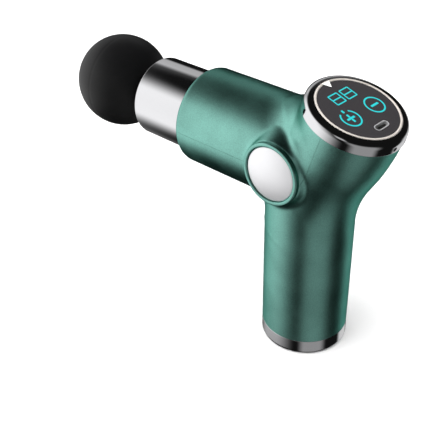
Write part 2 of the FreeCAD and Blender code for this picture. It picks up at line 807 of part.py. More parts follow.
def side_caps():
    for name, side in SIDES.items():
        rim = turned("cap_ring_" + name, "Y", [
            ("recess_floor + slip_fit", "recess_radius - cap_spigot"),
            ("recess_floor + slip_fit", "recess_radius - slip_fit"),
            ("boss_face", "recess_radius - slip_fit"), ("boss_face", "ring_radius"),
            ("ring_face", "ring_radius"), ("ring_face", "cap_radius + cap_gap"),
            ("boss_face + cap_seat", "cap_radius + cap_gap"),
            ("boss_face + cap_seat", "recess_radius - cap_spigot")])
        rounded(rim, "cap_ring_" + name, "ring_round", "Y", "ring_face", "ring_radius")
        node(at_motor(rim, side), "cap_ring_" + name)
        disc = side_cylinder(side, "cap_radius", "boss_face + cap_seat", "cap_face")
        dome = sphere("cap_dome", "motor_x", "%d * (cap_face - cap_dome)" % side, "axis_height")
        node(common(disc, dome), "side_cap_" + name)
        screws = []
        for across, up in mount_screw_places():
            head = side_cylinder(side, "screw_head", "recess_floor", "recess_floor + mount_screw_head",
                                 across, up)
            shank = side_cylinder(side, "screw_radius", "mount_face + shaft_gap",
                                  "recess_floor + screw_stop", across, up)
            slot = side_cylinder(side, "key_radius", "recess_floor + screw_stop", "boss_face",
                                 across, up)
            screws.append(cut(fuse(head, shank), slot))
        node(group(*screws), "cap_screws_" + name)


# ---------------------------------------------------------------- motor

def plate_holes(side):
    return [side_cylinder(side, "screw_radius", "mount_face - 1", "pocket_face + 1", across, up)
            for across, up in mount_screw_places()]


def motor_mounts():
    mount = turned("motor_mount", "Y", [
        ("can_face + hub_gap", "bearing_radius"), ("can_face + hub_gap", "mount_hub"),
        ("mount_face", "mount_hub"), ("mount_face", "pocket_radius - 2 * slip_fit"),
        ("pocket_face", "pocket_radius - 2 * slip_fit"), ("pocket_face", "0"),
        ("mount_face + shaft_gap + slip_fit", "0"), ("mount_face + shaft_gap + slip_fit", "bearing_radius")])
    node(cut(at_motor(mount), *plate_holes(1)), "motor_mount")
    inner_end = "(web_face + outer_web + plate_gap)"
    plate = turned("bearing_plate", "Y", [
        (inner_end, "bearing_radius"), (inner_end, "mount_hub"), ("mount_face", "mount_hub"),
        ("mount_face", "pocket_radius - 2 * slip_fit"),
        ("pocket_face", "pocket_radius - 2 * slip_fit"), ("pocket_face", "0"),
        (inner_end + " + bearing_width + plate_rest", "0"),
        (inner_end + " + bearing_width + plate_rest", "bearing_radius - 1"),
        (inner_end + " + bearing_width", "bearing_radius - 1"),
        (inner_end + " + bearing_width", "bearing_radius")])
    node(cut(at_motor(plate, -1), *plate_holes(-1)), "bearing_plate")
    node(bearing(-1, inner_end), "support_bearing")
    near = bearing(1, "(can_face + hub_gap + 2 * slip_fit)")
    far = bearing(1, "(mount_face + shaft_gap - bearing_width)")
    node(group(near, far), "motor_bearings")


def bearing(side, start):
    end = start + " + bearing_width"
    outer = side_cylinder(side, "bearing_radius", start, end)
    return cut(outer, side_cylinder(side, "shaft_radius + bearing_fit", start, end))


def stator():
    low = "(can_face + core_start)"
    high = "(can_end - core_stop)"
    core = side_cylinder(1, "stator_radius", low, high)
    bore = side_cylinder(1, "mount_hub", low, high)
    pitch = "(stator_radius + mount_hub) / 2 + slip_fit"
    slots = []
    coils = []
    for across, up in around(COIL_COUNT, pitch):
        slots.append(side_cylinder(1, "coil_radius", low, high, across, up))
        coils.append(side_cylinder(1, "coil_radius", low + " - coil_end", high + " + coil_end",
                                   across, up))
    node(cut(core, bore, *slots), "stator_core")
    node(group(*coils), "stator_windings")


def rotor():
    can = turned("rotor_can", "Y", [
        ("can_face", "shaft_radius"), ("can_face", "can_radius"), ("can_end", "can_radius"),
        ("can_end", "can_radius - can_wall"), ("can_face + can_floor", "can_radius - can_wall"),
        ("can_face + can_floor", "shaft_radius")])
    node(at_motor(can), "rotor_can")
    outer = side_cylinder(1, "can_radius - can_wall", "can_face + core_stop", "can_end - 1")
    inner = side_cylinder(1, "can_radius - can_wall - magnet_thickness", "can_face + core_stop",
                          "can_end - 1")
    splits = []
    for index in range(MAGNET_SPLITS):
        split = doc.addObject("Part::Box", "Split")
        bind(split, Length="0.4", Width="40", Height="60")
        turn = FreeCAD.Rotation(FreeCAD.Vector(0, 1, 0), 180.0 / MAGNET_SPLITS * index)
        corner = turn.multVec(FreeCAD.Vector(-0.2, 0, -30))
        splits.append(place(split, "motor_x + %.6f" % corner.x, "0", "axis_height + %.6f" % corner.z,
                            turn))
    node(cut(cut(outer, inner), *splits), "rotor_magnets")
    node(side_cylinder(1, "shaft_radius", "web_face + shaft_start", "mount_face + shaft_gap"), "motor_shaft")


def web(side, thickness):
    """Crank web with its counterweight opposite the pin."""
    end = "web_face + " + thickness
    disc = side_cylinder(side, "web_radius", "web_face", end)
    sector = side_cylinder(side, "weight_radius", "web_face", end)
    low = "web_face" if side > 0 else "0 - web_face - " + thickness
    half = box("weight_radius + 2", thickness, "2 * weight_radius + 2",
               "motor_x - weight_radius - 3", low, "axis_height - weight_radius - 1")
    return fuse(disc, common(sector, half))


def crank():
    pin_end = "(web_face + 1.5)"
    pin = cylinder("crank_pin_radius", pin_end + " + web_face", "pin_x", "0 - " + pin_end,
                   "axis_height", "Y")
    bore = side_cylinder(1, "shaft_radius", "web_face + shaft_start", "web_face + inner_web + 1")
    node(cut(fuse(web(1, "inner_web"), pin), bore), "eccentric_crank")
    stub = side_cylinder(-1, "shaft_radius", "web_face + outer_web / 2",
                         "web_face + outer_web + plate_gap + bearing_width")
    socket = cylinder("crank_pin_radius", pin_end + " + 1", "pin_x", "0 - " + pin_end,
                      "axis_height", "Y")
    node(cut(fuse(web(-1, "outer_web"), stub), socket), "outer_counterweight")


# ---------------------------------------------------------------- rod, plunger and head

def rod():
    wide = "2 * rod_half_width"
    low = "0 - rod_half_width"
    eye = cylinder("rod_bearing_radius + rod_eye_wall", wide, "pin_x", low, "axis_height", "Y")
    shank = box("rod_length - 6", wide, "5", "wrist_x + 3", low, "axis_height - 2.5")
    frame = centred_box("2 * (window_half_x + rod_frame)", wide,
                        "2 * (window_half_z + rod_frame)", "wrist_x", "0", "axis_height")
    window = centred_box("2 * window_half_x", "2 * " + wide, "2 * window_half_z", "wrist_x", "0",
                         "axis_height")
    seat = cylinder("rod_bearing_radius", wide, "pin_x", low, "axis_height", "Y")
    node(cut(fuse(eye, shank, frame), window, seat), "con_rod")
    race = cylinder("rod_bearing_radius", wide, "pin_x", low, "axis_height", "Y")
    hole = cylinder("crank_pin_radius + bearing_fit", wide, "pin_x", low, "axis_height", "Y")
    node(cut(race, hole), "rod_bearing")


def plunger():
    wall_face = "wrist_x - window_half_x - rod_frame - rod_gap"
    tube = turned("plunger", "X", [
        ("wrist_x + plunger_skirt", "skirt_bore"), ("wrist_x + plunger_skirt", "plunger_radius"),
        ("sleeve_front", "plunger_radius"), ("sleeve_front", "socket_radius"),
        ("sleeve_front + socket_depth", "socket_radius"),
        ("sleeve_front + socket_depth", "socket_radius - socket_step"),
        (wall_face + " - socket_floor", "socket_radius - socket_step"),
        (wall_face + " - socket_floor", "0"), (wall_face, "0"),
        (wall_face, "skirt_bore")])
    reach = "(plunger_radius - pin_sink)"
    pin = cylinder("wrist_pin_radius", "2 * " + reach, "wrist_x", "0 - " + reach, "axis_height", "Y")
    hole = cylinder("wrist_pin_radius", "2 * plunger_radius + 2", "wrist_x",
                    "0 - plunger_radius - 1", "axis_height", "Y")
    node(cut(at_barrel(tube), hole), "plunger")
    node(pin, "wrist_pin")


def head():
    flange = "(sleeve_front - stem_gap)"
    ball_rear = "(ball_x + ball_radius)"
    plug_end = "(ball_x + plug_start)"
    stem = turned("head_stem", "X", [
        ("sleeve_front + socket_depth - stem_short", "0"), ("sleeve_front + socket_depth - stem_short",
                                                    "stem_radius"),
        (flange, "stem_radius"), (flange, "stem_radius + stem_collar"), (flange + " - collar_width",
                                                               "stem_radius + stem_collar"),
        (flange + " - collar_width", "stem_radius - 1"), (ball_rear + " - plug_cover", "stem_radius - 1"),
        (ball_rear + " - plug_cover", "plug_radius"), (plug_end, "plug_radius"), (plug_end, "0")])
    seats = []
    rings = []
    for offset in SEAL_PLACES:
        x = "sleeve_front + %.1f" % offset
        seats.append(ring("stem_radius + 1", "stem_radius - seal_seat", "seal_width",
                          x + " - seal_width / 2", "0", "axis_height", "X"))
        torus = doc.addObject("Part::Torus", "SealRing")
        bind(torus, Radius1="stem_radius - seal_sink", Radius2="seal_radius")
        rings.append(place(torus, x, "0", "axis_height", ALONG["X"]))
    node(cut(at_barrel(stem), *seats), "head_stem")
    node(group(*rings), "stem_o_rings")
    ball = sphere("ball_radius", "ball_x", "0", "axis_height")
    neck = cylinder("stem_radius - 1", "ball_radius", ball_rear + " - plug_cover - 0.5", "0",
                    "axis_height", "X")
    cavity = cylinder("plug_radius", "%s - plug_cover - %s" % (ball_rear, plug_end), plug_end, "0",
                      "axis_height", "X")
    node(cut(ball, neck, cavity), "massage_ball")


# ---------------------------------------------------------------- wiring

def lead(points, radius):
    """Insulated wire along straight runs joined by tangent arcs."""
    edges = []
    start = points[0]
    for index in range(1, len(points) - 1):
        corner, before, after = points[index], points[index - 1], points[index + 1]
        back = (before - corner).normalize()
        ahead = (after - corner).normalize()
        half = back.getAngle(ahead) / 2
        trim = 0.45 * min((before - corner).Length, (after - corner).Length)
        bend = trim * math.tan(half)
        centre = corner + (back + ahead).normalize() * (bend / math.sin(half))
        middle = centre + (corner - centre).normalize() * bend
        first, last = corner + back * trim, corner + ahead * trim
        edges.append(Part.LineSegment(start, first).toShape())
        edges.append(Part.Arc(first, middle, last).toShape())
        start = last
    edges.append(Part.LineSegment(start, points[-1]).toShape())
    path = Part.Wire(edges)
    heading = (points[1] - points[0]).normalize()
    section = Part.Wire(Part.Circle(points[0], heading, radius).toShape())
    return path.makePipeShell([section], True, True)


def leads(name, starts, ends):
    """Wires that rise behind the motor from one set of places to another."""
    solids = []
    for (x_low, y_low, z_low), (x_high, y_high, z_high) in zip(starts, ends):
        behind = value("motor_x + can_radius") + 3.5
        mid_low = FreeCAD.Vector(behind, y_low, z_low + 9)
        mid_high = FreeCAD.Vector(behind + 1.5, (y_low + y_high) / 2, value("axis_height") + 3)
        points = [FreeCAD.Vector(x_low, y_low, z_low), mid_low, mid_high,
                  FreeCAD.Vector(x_high, y_high, z_high)]
        solids.append(lead(points, 0.7))
    item = doc.addObject("Part::Feature", name)
    item.Shape = Part.Compound(solids)
    item.Placement = FreeCAD.Placement()
    node(item, name)


def wiring():
    tilt = math.radians(value("display_tilt"))
    depth = value("board_depth + board_thickness") + 0.05
    board_x = value("glass_x") - depth * math.sin(tilt)
    board_z = value("glass_z") - depth * math.cos(tilt)

    def under_board(across, side):
        return (board_x + across * math.cos(tilt), side, board_z - across * math.sin(tilt))

    low = value("pack_top") + 0.05
    leads("battery_leads", [(13.0, -2.0, low), (13.0, 2.0, low)],
          [under_board(0.5, -1.5), under_board(0.5, 1.5)])


housing_shells()
base_cap()
battery()
nose()
display()
display_electronics()
side_caps()
motor_mounts()
stator()
rotor()
crank()
rod()
plunger()
head()
wiring()
doc.recompute()

faults = [item.Label for item in doc.Objects
          if "Invalid" in item.State or "Error" in item.State]
for item in nodes:
    if item.Shape.isNull() or not item.Shape.isValid() or not item.Shape.Solids:
        faults.append(item.Label)
if faults:
    raise RuntimeError("these objects are not sound: " + ", ".join(faults))
os.makedirs("parts", exist_ok=True)
for item in nodes:
    item.Shape.exportStep(os.path.join("parts", item.Label + ".step"))
print(len(nodes), "sub-parts")
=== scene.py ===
"""Mini massage gun standing on its chrome base: the finished look around its CAD frame."""
import json
import math

import bmesh
import bpy
import numpy as np
from bpy.props import FloatProperty, FloatVectorProperty, PointerProperty
from mathutils import Matrix, Vector


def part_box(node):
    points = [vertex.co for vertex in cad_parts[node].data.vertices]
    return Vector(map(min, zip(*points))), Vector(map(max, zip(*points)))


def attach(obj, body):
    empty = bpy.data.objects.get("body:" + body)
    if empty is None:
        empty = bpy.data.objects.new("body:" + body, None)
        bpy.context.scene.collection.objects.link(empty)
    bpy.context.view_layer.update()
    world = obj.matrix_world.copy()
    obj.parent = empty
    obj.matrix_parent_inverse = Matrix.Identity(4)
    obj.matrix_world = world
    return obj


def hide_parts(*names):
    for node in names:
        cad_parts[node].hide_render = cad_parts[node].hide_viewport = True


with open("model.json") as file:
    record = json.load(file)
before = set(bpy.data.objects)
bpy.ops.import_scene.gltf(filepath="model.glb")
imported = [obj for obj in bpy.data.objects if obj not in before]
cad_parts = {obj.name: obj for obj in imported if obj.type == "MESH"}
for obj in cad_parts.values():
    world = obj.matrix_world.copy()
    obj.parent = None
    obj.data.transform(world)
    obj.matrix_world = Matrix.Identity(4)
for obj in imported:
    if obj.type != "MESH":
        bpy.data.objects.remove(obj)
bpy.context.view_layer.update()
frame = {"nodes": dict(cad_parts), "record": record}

bl_info = {
    "name": "Massage gun",
    "version": (1, 0, 0),
    "blender": (4, 5, 0),
    "location": "View3D > Sidebar > Massage gun",
    "description": "Builds the shells, trims, display and ball of a mini massage gun",
    "category": "Add Mesh",
}

MM = 0.001


# ---------------------------------------------------------------- places read from the frame

def centre(node):
    """Middle of a node's box."""
    low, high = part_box(node)
    return (Vector(low) + Vector(high)) / 2


def span(node, axis):
    """Size of a node's box along X, Y or Z (0, 1 or 2)."""
    low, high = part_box(node)
    return high[axis] - low[axis]


def port_axis():
    """Way out of the charging port, which is square to the glass."""
    for mount in frame["record"]["mounts"]:
        if mount["name"] == "usb_c_port":
            return Vector(mount["axis"]).normalized()
    raise ValueError("the record has no usb_c_port mount")


HUB_UP = port_axis()
HUB_BACK = Vector((HUB_UP.z, 0, -HUB_UP.x))
TILT = math.atan2(HUB_UP.x, HUB_UP.z)
LENS_THICKNESS = 1.2 * MM
PORT_BACK = 12.75 * MM              # place of the port behind the middle of the glass
PORT_LONG = 8.94 * MM
PORT_WIDE = 3.26 * MM
GLASS = centre("display_lens") + HUB_UP * LENS_THICKNESS / 2
HUB = Matrix.Translation(GLASS) @ Matrix.Rotation(TILT, 4, "Y")
AXIS_Z = centre("nose_sleeve").z
MOTOR_X = centre("side_cap_left").x
BARREL = Matrix.Translation((0, 0, AXIS_Z)) @ Matrix.Rotation(math.radians(90), 4, "Y")


def srgb(code):
    """Linear colour of an sRGB hex value."""
    channels = [int(code[i:i + 2], 16) / 255 for i in (1, 3, 5)]
    return tuple(c / 12.92 if c <= 0.04045 else ((c + 0.055) / 1.055) ** 2.4 for c in channels)


# ---------------------------------------------------------------- settings

def length(name, description, default):
    """A size in metres that a user can change."""
    return FloatProperty(name=name, description=description, default=default, subtype="DISTANCE",
                         unit="LENGTH")


def colour(name, description, code):
    """A colour that a user can change, given as its sRGB hex value."""
    return FloatVectorProperty(name=name, description=description, default=srgb(code),
                               subtype="COLOR", min=0.0, max=1.0)


class HousingSettings(bpy.types.PropertyGroup):
    """Sizes of the two green shells."""
    handle_radius: length("Handle radius", "Outside of the handle", span("base_cap", 1) / 2)
    barrel_radius: length("Barrel radius", "Outside of the barrel", 24.9 * MM)
    barrel_front: length("Barrel front", "Place of the front rim along X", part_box("lower_shell")[0][0])
    rim_round: length("Rim round", "Radius of the rounded front rim", 2.2 * MM)
    bore_radius: length("Front bore", "Opening round the chrome sleeve", 20.95 * MM)
    hub_radius: length("Hub radius", "Hub just below the bezel", 23.7 * MM)
    hub_crown: length("Hub crown", "Radius of the hub's long side arc", 88.0 * MM)
    hub_taper: FloatProperty(name="Hub taper", description="Narrowing of the hub below its arc",
                             default=0.22, min=0.0)
    boss_radius: length("Boss radius", "Round boss under a side cap", 15.4 * MM)
    boss_face: length("Boss face", "Distance of the boss face from the middle", 25.0 * MM)
    saddle_blend: length("Saddle blend", "Reach of the blend from barrel to hub", 23.0 * MM)
    waist_blend: length("Waist blend", "Reach of the blend from handle to hub", 55.0 * MM)
    crotch_blend: length("Crotch blend", "Reach of the blend from barrel to handle", 10.0 * MM)
    boss_flare: FloatProperty(name="Boss flare", description="Widening of a boss towards the body",
                              default=0.56, min=0.0)
    boss_blend: length("Boss blend", "Reach of the blend round a boss", 5.0 * MM)
    wall: length("Wall", "Thickness of the moulded wall", 1.5 * MM)
    seam: length("Seam", "Gap from each shell to the parting line", 0.05 * MM)
    net_step: length("Net step", "Spacing of the surface net", 1.25 * MM)
    handle_base: length("Handle base", "Height where the handle meets the base cap",
                        span("base_cap", 2) + 0.05 * MM)
    hub_top: length("Hub top", "Depth of the hub's edge below the glass", 5.98 * MM)


class ChromeSettings(bpy.types.PropertyGroup):
    """Sizes of the chrome sleeve, base and bezel, and of the trim ring."""
    sleeve_radius: length("Sleeve radius", "Outside of the sleeve", 20.8 * MM)
    sleeve_bore: length("Sleeve bore", "Inside of the sleeve", 19.3 * MM)
    sleeve_flange: length("Sleeve flange", "Length of the flange held in the barrel", 3.0 * MM)
    base_round: length("Base round", "Radius of the base's lower edge", 1.6 * MM)
    base_wall: length("Base wall", "Wall of the base cup", 1.9 * MM)
    base_floor: length("Base floor", "Height of the floor inside the base cup", 3.0 * MM)
    foot_recess: length("Foot recess", "Depth of the recess for the foot", 1.5 * MM)
    bezel_top: length("Bezel top", "Radius of the bezel at its face", 23.55 * MM)
    bezel_foot: length("Bezel foot", "Radius of the bezel at its lower edge", 24.1 * MM)
    bezel_depth: length("Bezel depth", "Depth of its lower edge below the glass", 5.9 * MM)
    shoulder: length("Shoulder", "Radius of the bezel's soft shoulder", 2.6 * MM)
    pocket: length("Pocket", "Radius of the pocket for glass and trim ring", 20.0 * MM)
    ledge: length("Ledge", "Thickness of the ledge under the glass", 1.6 * MM)
    ledge_bore: length("Ledge bore", "Opening in the ledge", 17.8 * MM)
    skirt_depth: length("Skirt depth", "Depth of the bezel's skirt in the hub", 10.0 * MM)
    skirt_root: length("Skirt root", "Radius of the skirt at the bezel", 21.5 * MM)
    skirt_tip: length("Skirt tip", "Radius of the skirt at its end", 20.9 * MM)
    skirt_bore: length("Skirt bore", "Inside of the skirt", 20.3 * MM)
    screw_hole: length("Set-screw hole", "Radius of a set-screw hole", 1.1 * MM)
    screw_depth: length("Set-screw depth", "Depth of the holes below the glass", 3.9 * MM)
    trim_bore: length("Trim bore", "Inside of the trim ring", 18.85 * MM)
    trim_radius: length("Trim radius", "Outside of the trim ring", 19.9 * MM)
    trim_height: length("Trim height", "Height of the trim ring above the glass", 0.3 * MM)


class CapSettings(bpy.types.PropertyGroup):
    """Sizes of the side caps: distances are from the object's middle plane."""
    ring_radius: length("Ring radius", "Outside of the green ring", 15.4 * MM)
    ring_bore: length("Ring bore", "Inside of the green ring at its face", 13.5 * MM)
    ring_back_bore: length("Ring back bore", "Inside of the green ring at its back", 12.6 * MM)
    ring_back: length("Ring back", "Distance of the ring's back", 24.6 * MM)
    ring_face: length("Ring face", "Distance of the ring's face", 26.9 * MM)
    seat: length("Seat", "Distance of the disc's seat in the ring", 25.4 * MM)
    disc_radius: length("Disc radius", "Outside of the pearl disc", 13.3 * MM)
    disc_face: length("Disc face", "Distance of the disc's crown", 27.4 * MM)
    dome: length("Dome", "Radius of the disc's domed face", 75.0 * MM)


class BallSettings(bpy.types.PropertyGroup):
    """Sizes of the massage ball."""
    radius: length("Radius", "Outside of the ball", 25.0 * MM)
    neck: length("Neck", "Radius of the hole round the stem", 7.2 * MM)
    neck_depth: length("Neck depth", "Depth of the hole", 6.0 * MM)
    mould_line: length("Mould line", "Depth of the line round the ball", 0.12 * MM)


class FinishSettings(bpy.types.PropertyGroup):
    """Colours a user would change."""
    lacquer: colour("Lacquer", "Metallic green lacquer", "#8AC4B8")
    pearl: colour("Pearl", "Satin side caps", "#F2F2F4")
    foam: colour("Ball", "Black foam rubber", "#0A0A0B")
    glow: colour("Display glow", "Lit figures of the display", "#2ADCE0")


class StageSettings(bpy.types.PropertyGroup):
    """Camera and lights."""
    focal: FloatProperty(name="Focal length", description="Lens of the camera in millimetres",
                         default=68.4, min=10.0)
    azimuth: FloatProperty(name="Azimuth", description="Camera's turn about Z from -Y",
                           default=math.radians(43.61), subtype="ANGLE", unit="ROTATION")
    elevation: FloatProperty(name="Elevation", description="Camera's height above level",
                             default=math.radians(33.378), subtype="ANGLE", unit="ROTATION")
    roll: FloatProperty(name="Roll", description="Camera's turn about its own axis",
                        default=math.radians(-1.075), subtype="ANGLE", unit="ROTATION")
    distance: length("Distance", "Camera to its target", 450.0 * MM)
    target: FloatVectorProperty(name="Target", description="Point that the camera looks at",
                                default=(-63.8 * MM, 0.0, 42.6 * MM), subtype="TRANSLATION",
                                unit="LENGTH")


# ---------------------------------------------------------------- materials

CLOUD = 40                          # a broad cloud of tone is this many grains wide
NOISE_LOW = 0.6                     # the two noises added up stay mostly between these two
NOISE_HIGH = 1.4
RELIEF = 0.3                        # depth of the relief as a share of the grain
GLOW_STRENGTH = 0.95


def add(tree, kind, links=(), **settings):
    """Add a shader node, set its plain values, and link (socket, source) pairs into it."""
    item = tree.nodes.new(kind)
    for name, setting in settings.items():
        if hasattr(item, name):
            setattr(item, name, setting)
        else:
            item.inputs[name.replace("_", " ")].default_value = setting
    for socket, source in links:
        tree.links.new(source, item.inputs[socket])
    return item


def surface(name, tint, roughness, grain, metallic=0.0, ior=None, coat=0.0, coat_roughness=0.05,
            mottle=0.06, bump=0.05, uneven=0.08, stretch=(1.0, 1.0, 1.0), glow=None, edge=None):
    """Principled surface whose tint, gloss and relief vary at a real grain size in metres."""
    material = bpy.data.materials.new(name)
    material.use_nodes = True
    tree = material.node_tree
    shader = tree.nodes["Principled BSDF"]
    shader.inputs["Metallic"].default_value = metallic
    if ior is not None:
        shader.inputs["IOR"].default_value = ior
    if edge is not None:
        shader.inputs["Specular Tint"].default_value = tuple(edge) + (1.0,)
    shader.inputs["Coat Weight"].default_value = coat
    shader.inputs["Coat Roughness"].default_value = coat_roughness
    place = add(tree, "ShaderNodeTexCoord")
    drawn = add(tree, "ShaderNodeMapping", [("Vector", place.outputs["Object"])], Scale=stretch)
    fine = add(tree, "ShaderNodeTexNoise", [("Vector", drawn.outputs["Vector"])],
               Scale=1 / grain, Detail=3.0, Roughness=0.6)
    broad = add(tree, "ShaderNodeTexNoise", [("Vector", place.outputs["Object"])],
                Scale=1 / (grain * CLOUD), Detail=2.0)
    both = add(tree, "ShaderNodeMath", [(0, fine.outputs["Fac"]), (1, broad.outputs["Fac"])],
               operation="ADD")
    dark = tuple(c * (1 - mottle) for c in tint) + (1.0,)
    light = tuple(min(1.0, c * (1 + mottle)) for c in tint) + (1.0,)
    ramp = add(tree, "ShaderNodeMapRange", [("Value", both.outputs[0])], From_Min=NOISE_LOW,
               From_Max=NOISE_HIGH)
    mix = add(tree, "ShaderNodeMix", [("Factor", ramp.outputs["Result"])], data_type="RGBA")
    mix.inputs[6].default_value = dark
    mix.inputs[7].default_value = light
    tree.links.new(mix.outputs[2], shader.inputs["Base Color"])
    gloss = add(tree, "ShaderNodeMapRange", [("Value", both.outputs[0])], From_Min=NOISE_LOW,
                From_Max=NOISE_HIGH, To_Min=roughness * (1 - uneven),
                To_Max=min(1.0, roughness * (1 + uneven)))
    tree.links.new(gloss.outputs["Result"], shader.inputs["Roughness"])
    if bump:
        relief = add(tree, "ShaderNodeBump", [("Height", fine.outputs["Fac"])], Strength=bump,
                     Distance=grain * RELIEF)
        tree.links.new(relief.outputs["Normal"], shader.inputs["Normal"])
    if glow is not None:
        shader.inputs["Emission Color"].default_value = tuple(glow) + (1.0,)
        shader.inputs["Emission Strength"].default_value = GLOW_STRENGTH
    return material


def metallic_green_lacquer():
    """Sprayed metallic lacquer on ABS: soft wide highlights over a fine flake, with a satin face.

    Real flakes are about 0.05 mm wide, and are drawn 0.5 mm wide, because finer ones don't show."""
    tint = tuple(bpy.context.scene.gun_finish.lacquer)
    return surface("metallic_green_lacquer", tint, 0.34, 0.5 * MM, metallic=1.0, edge=srgb("#86AFA6"),
                   mottle=0.3, bump=0.35, uneven=0.15)


def chrome_plate():
    """Chrome plate over polished ABS: a dark clear mirror with a faint orange peel."""
    return surface("chrome_plate", srgb("#DCDCDE"), 0.07, 1.2 * MM, metallic=1.0, mottle=0.01,
                   bump=0.006, uneven=0.3)


def pearl_lacquer():
    """Satin pearl lacquer on a moulded disc: pale and metallic, with a wide soft sheen."""
    tint = tuple(bpy.context.scene.gun_finish.pearl)
    return surface("pearl_lacquer", tint, 0.30, 0.25 * MM, metallic=0.85, coat=0.2,
                   coat_roughness=0.2, mottle=0.02, bump=0.03)


def polished_trim():
    """Polished nickel trim ring: bright, with fine turning lines."""
    return surface("polished_trim", srgb("#F6EEE6"), 0.3, 0.15 * MM, metallic=0.45, mottle=0.03,
                   bump=0.03)


def white_print():
    """Pad-printed white ink: flat and opaque."""
    return surface("white_print", srgb("#F2F2F0"), 0.55, 0.2 * MM, mottle=0.02, bump=0.02)


def smoked_acrylic():
    """Smoked PMMA touch window: dark grey under a hard glossy face."""
    return surface("smoked_acrylic", srgb("#333133"), 0.22, 0.5 * MM, ior=1.49, mottle=0.03,
                   bump=0.004, uneven=0.2)


def lit_figures():
    """Figures lit through the window: even cyan with a slightly soft edge."""
    glow = tuple(bpy.context.scene.gun_finish.glow)
    return surface("lit_figures", srgb("#0C2A2C"), 0.4, 0.4 * MM, mottle=0.05, bump=0.0, glow=glow)


def black_textured_abs():
    """Spark-textured black ABS: fine matt grain from the mould."""
    return surface("black_textured_abs", srgb("#141414"), 0.55, 0.3 * MM, mottle=0.12, bump=0.2)


def grey_glass_nylon():
    """Glass-filled nylon of the inner frames: dull grey with a fibrous cloud."""
    return surface("grey_glass_nylon", srgb("#4A4A4C"), 0.6, 0.5 * MM, mottle=0.15, bump=0.15,
                   stretch=(1.0, 1.0, 0.3))


def foam_rubber_skin():
    """Moulded EVA foam skin of the ball: dull black with an even 0.45 mm pebble."""
    tint = tuple(bpy.context.scene.gun_finish.foam)
    return surface("foam_rubber_skin", tint, 0.52, 0.45 * MM, ior=1.45, mottle=0.18, bump=0.22,
                   uneven=0.1)


def black_stem_plastic():
    """Moulded acetal of the head's stem: black with a soft gloss."""
    return surface("black_stem_plastic", srgb("#161617"), 0.38, 0.6 * MM, mottle=0.08, bump=0.05)


def silicone_rubber():
    """Moulded silicone of the seals and the foot: black, dull and slightly dusty."""
    return surface("silicone_rubber", srgb("#1A1A1A"), 0.7, 0.35 * MM, mottle=0.2, bump=0.12)


def black_zinc_screw():
    """Black zinc plate on steel screws: dark, with a soft metal gloss."""
    return surface("black_zinc_screw", srgb("#3A3A3D"), 0.35, 0.2 * MM, metallic=1.0, mottle=0.1,
                   bump=0.05)


def ground_steel():
    """Ground steel of shafts, crank and bearings: fine grinding lines across."""
    return surface("ground_steel", srgb("#A9AAAD"), 0.26, 0.12 * MM, metallic=1.0, mottle=0.05,
                   bump=0.06, stretch=(1.0, 6.0, 1.0))


def tin_plate():
    """Tin plate over drawn steel, as on a socket's can: pale and satin."""
    return surface("tin_plate", srgb("#E6E6E8"), 0.36, 0.2 * MM, metallic=0.6, mottle=0.03, bump=0.02)


def nickel_magnet():
    """Nickel-plated neodymium magnets: warm grey and soft mirror-like."""
    return surface("nickel_magnet", srgb("#B8B4AC"), 0.24, 0.3 * MM, metallic=1.0, mottle=0.04,
                   bump=0.03)


def enamelled_copper():
    """Enamelled copper winding: orange brown with the lay of 0.3 mm wire."""
    return surface("enamelled_copper", srgb("#B5622E"), 0.3, 0.3 * MM, metallic=1.0, mottle=0.15,
                   bump=0.3, stretch=(1.0, 0.1, 1.0))


def sintered_bronze():
    """Oil-filled sintered bronze of the guide bush: porous at about 0.2 mm."""
    return surface("sintered_bronze", srgb("#9A7440"), 0.45, 0.2 * MM, metallic=1.0, mottle=0.2,
                   bump=0.15)


def machined_aluminium():
    """Turned aluminium of plunger and rod: bright with 0.15 mm feed marks round the axis."""
    return surface("machined_aluminium", srgb("#C9CACC"), 0.28, 0.15 * MM, metallic=1.0,
                   mottle=0.05, bump=0.06, stretch=(6.0, 1.0, 1.0))


def shrink_sleeve():
    """Blue PVC shrink sleeve of the cells: smooth with faint ripples."""
    return surface("shrink_sleeve", srgb("#2A5C9C"), 0.3, 1.5 * MM, mottle=0.06, bump=0.05)


def nickel_strip():
    """Rolled nickel strip of the cell tabs: pale with rolling lines."""
    return surface("nickel_strip", srgb("#BDB8AD"), 0.3, 0.2 * MM, metallic=1.0, mottle=0.06,
                   bump=0.05, stretch=(1.0, 8.0, 1.0))


def green_solder_mask():
    """Green solder mask over glass epoxy: glossy, with the weave just showing."""
    return surface("green_solder_mask", srgb("#17583A"), 0.3, 0.6 * MM, ior=1.55, mottle=0.2,
                   bump=0.06)


def black_epoxy():
    """Moulded epoxy of the chips: dull black with fine sand."""
    return surface("black_epoxy", srgb("#1E1E1F"), 0.6, 0.15 * MM, mottle=0.12, bump=0.1)


def red_silicone_lead():
    """Red silicone insulation: soft dull gloss."""
    return surface("red_silicone_lead", srgb("#A3201A"), 0.5, 0.4 * MM, mottle=0.06, bump=0.05)


SLOT_FINISH = {
    "green_shell": metallic_green_lacquer,
    "chrome": chrome_plate,
    "satin_cap": pearl_lacquer,
    "bright_trim": polished_trim,
    "marker_white": white_print,
    "display_glass": smoked_acrylic,
    "light_guide": lit_figures,
    "black_plastic": black_textured_abs,
    "grey_plastic": grey_glass_nylon,
    "ball_rubber": foam_rubber_skin,
    "stem_plastic": black_stem_plastic,
    "seal_rubber": silicone_rubber,
    "screw_steel": black_zinc_screw,
    "plain_steel": ground_steel,
    "magnet": nickel_magnet,
    "copper_wire": enamelled_copper,
    "bronze": sintered_bronze,
    "aluminium": machined_aluminium,
    "cell_wrap": shrink_sleeve,
    "nickel": nickel_strip,
    "circuit_board": green_solder_mask,
    "chip_black": black_epoxy,
    "wire_red": red_silicone_lead,
}


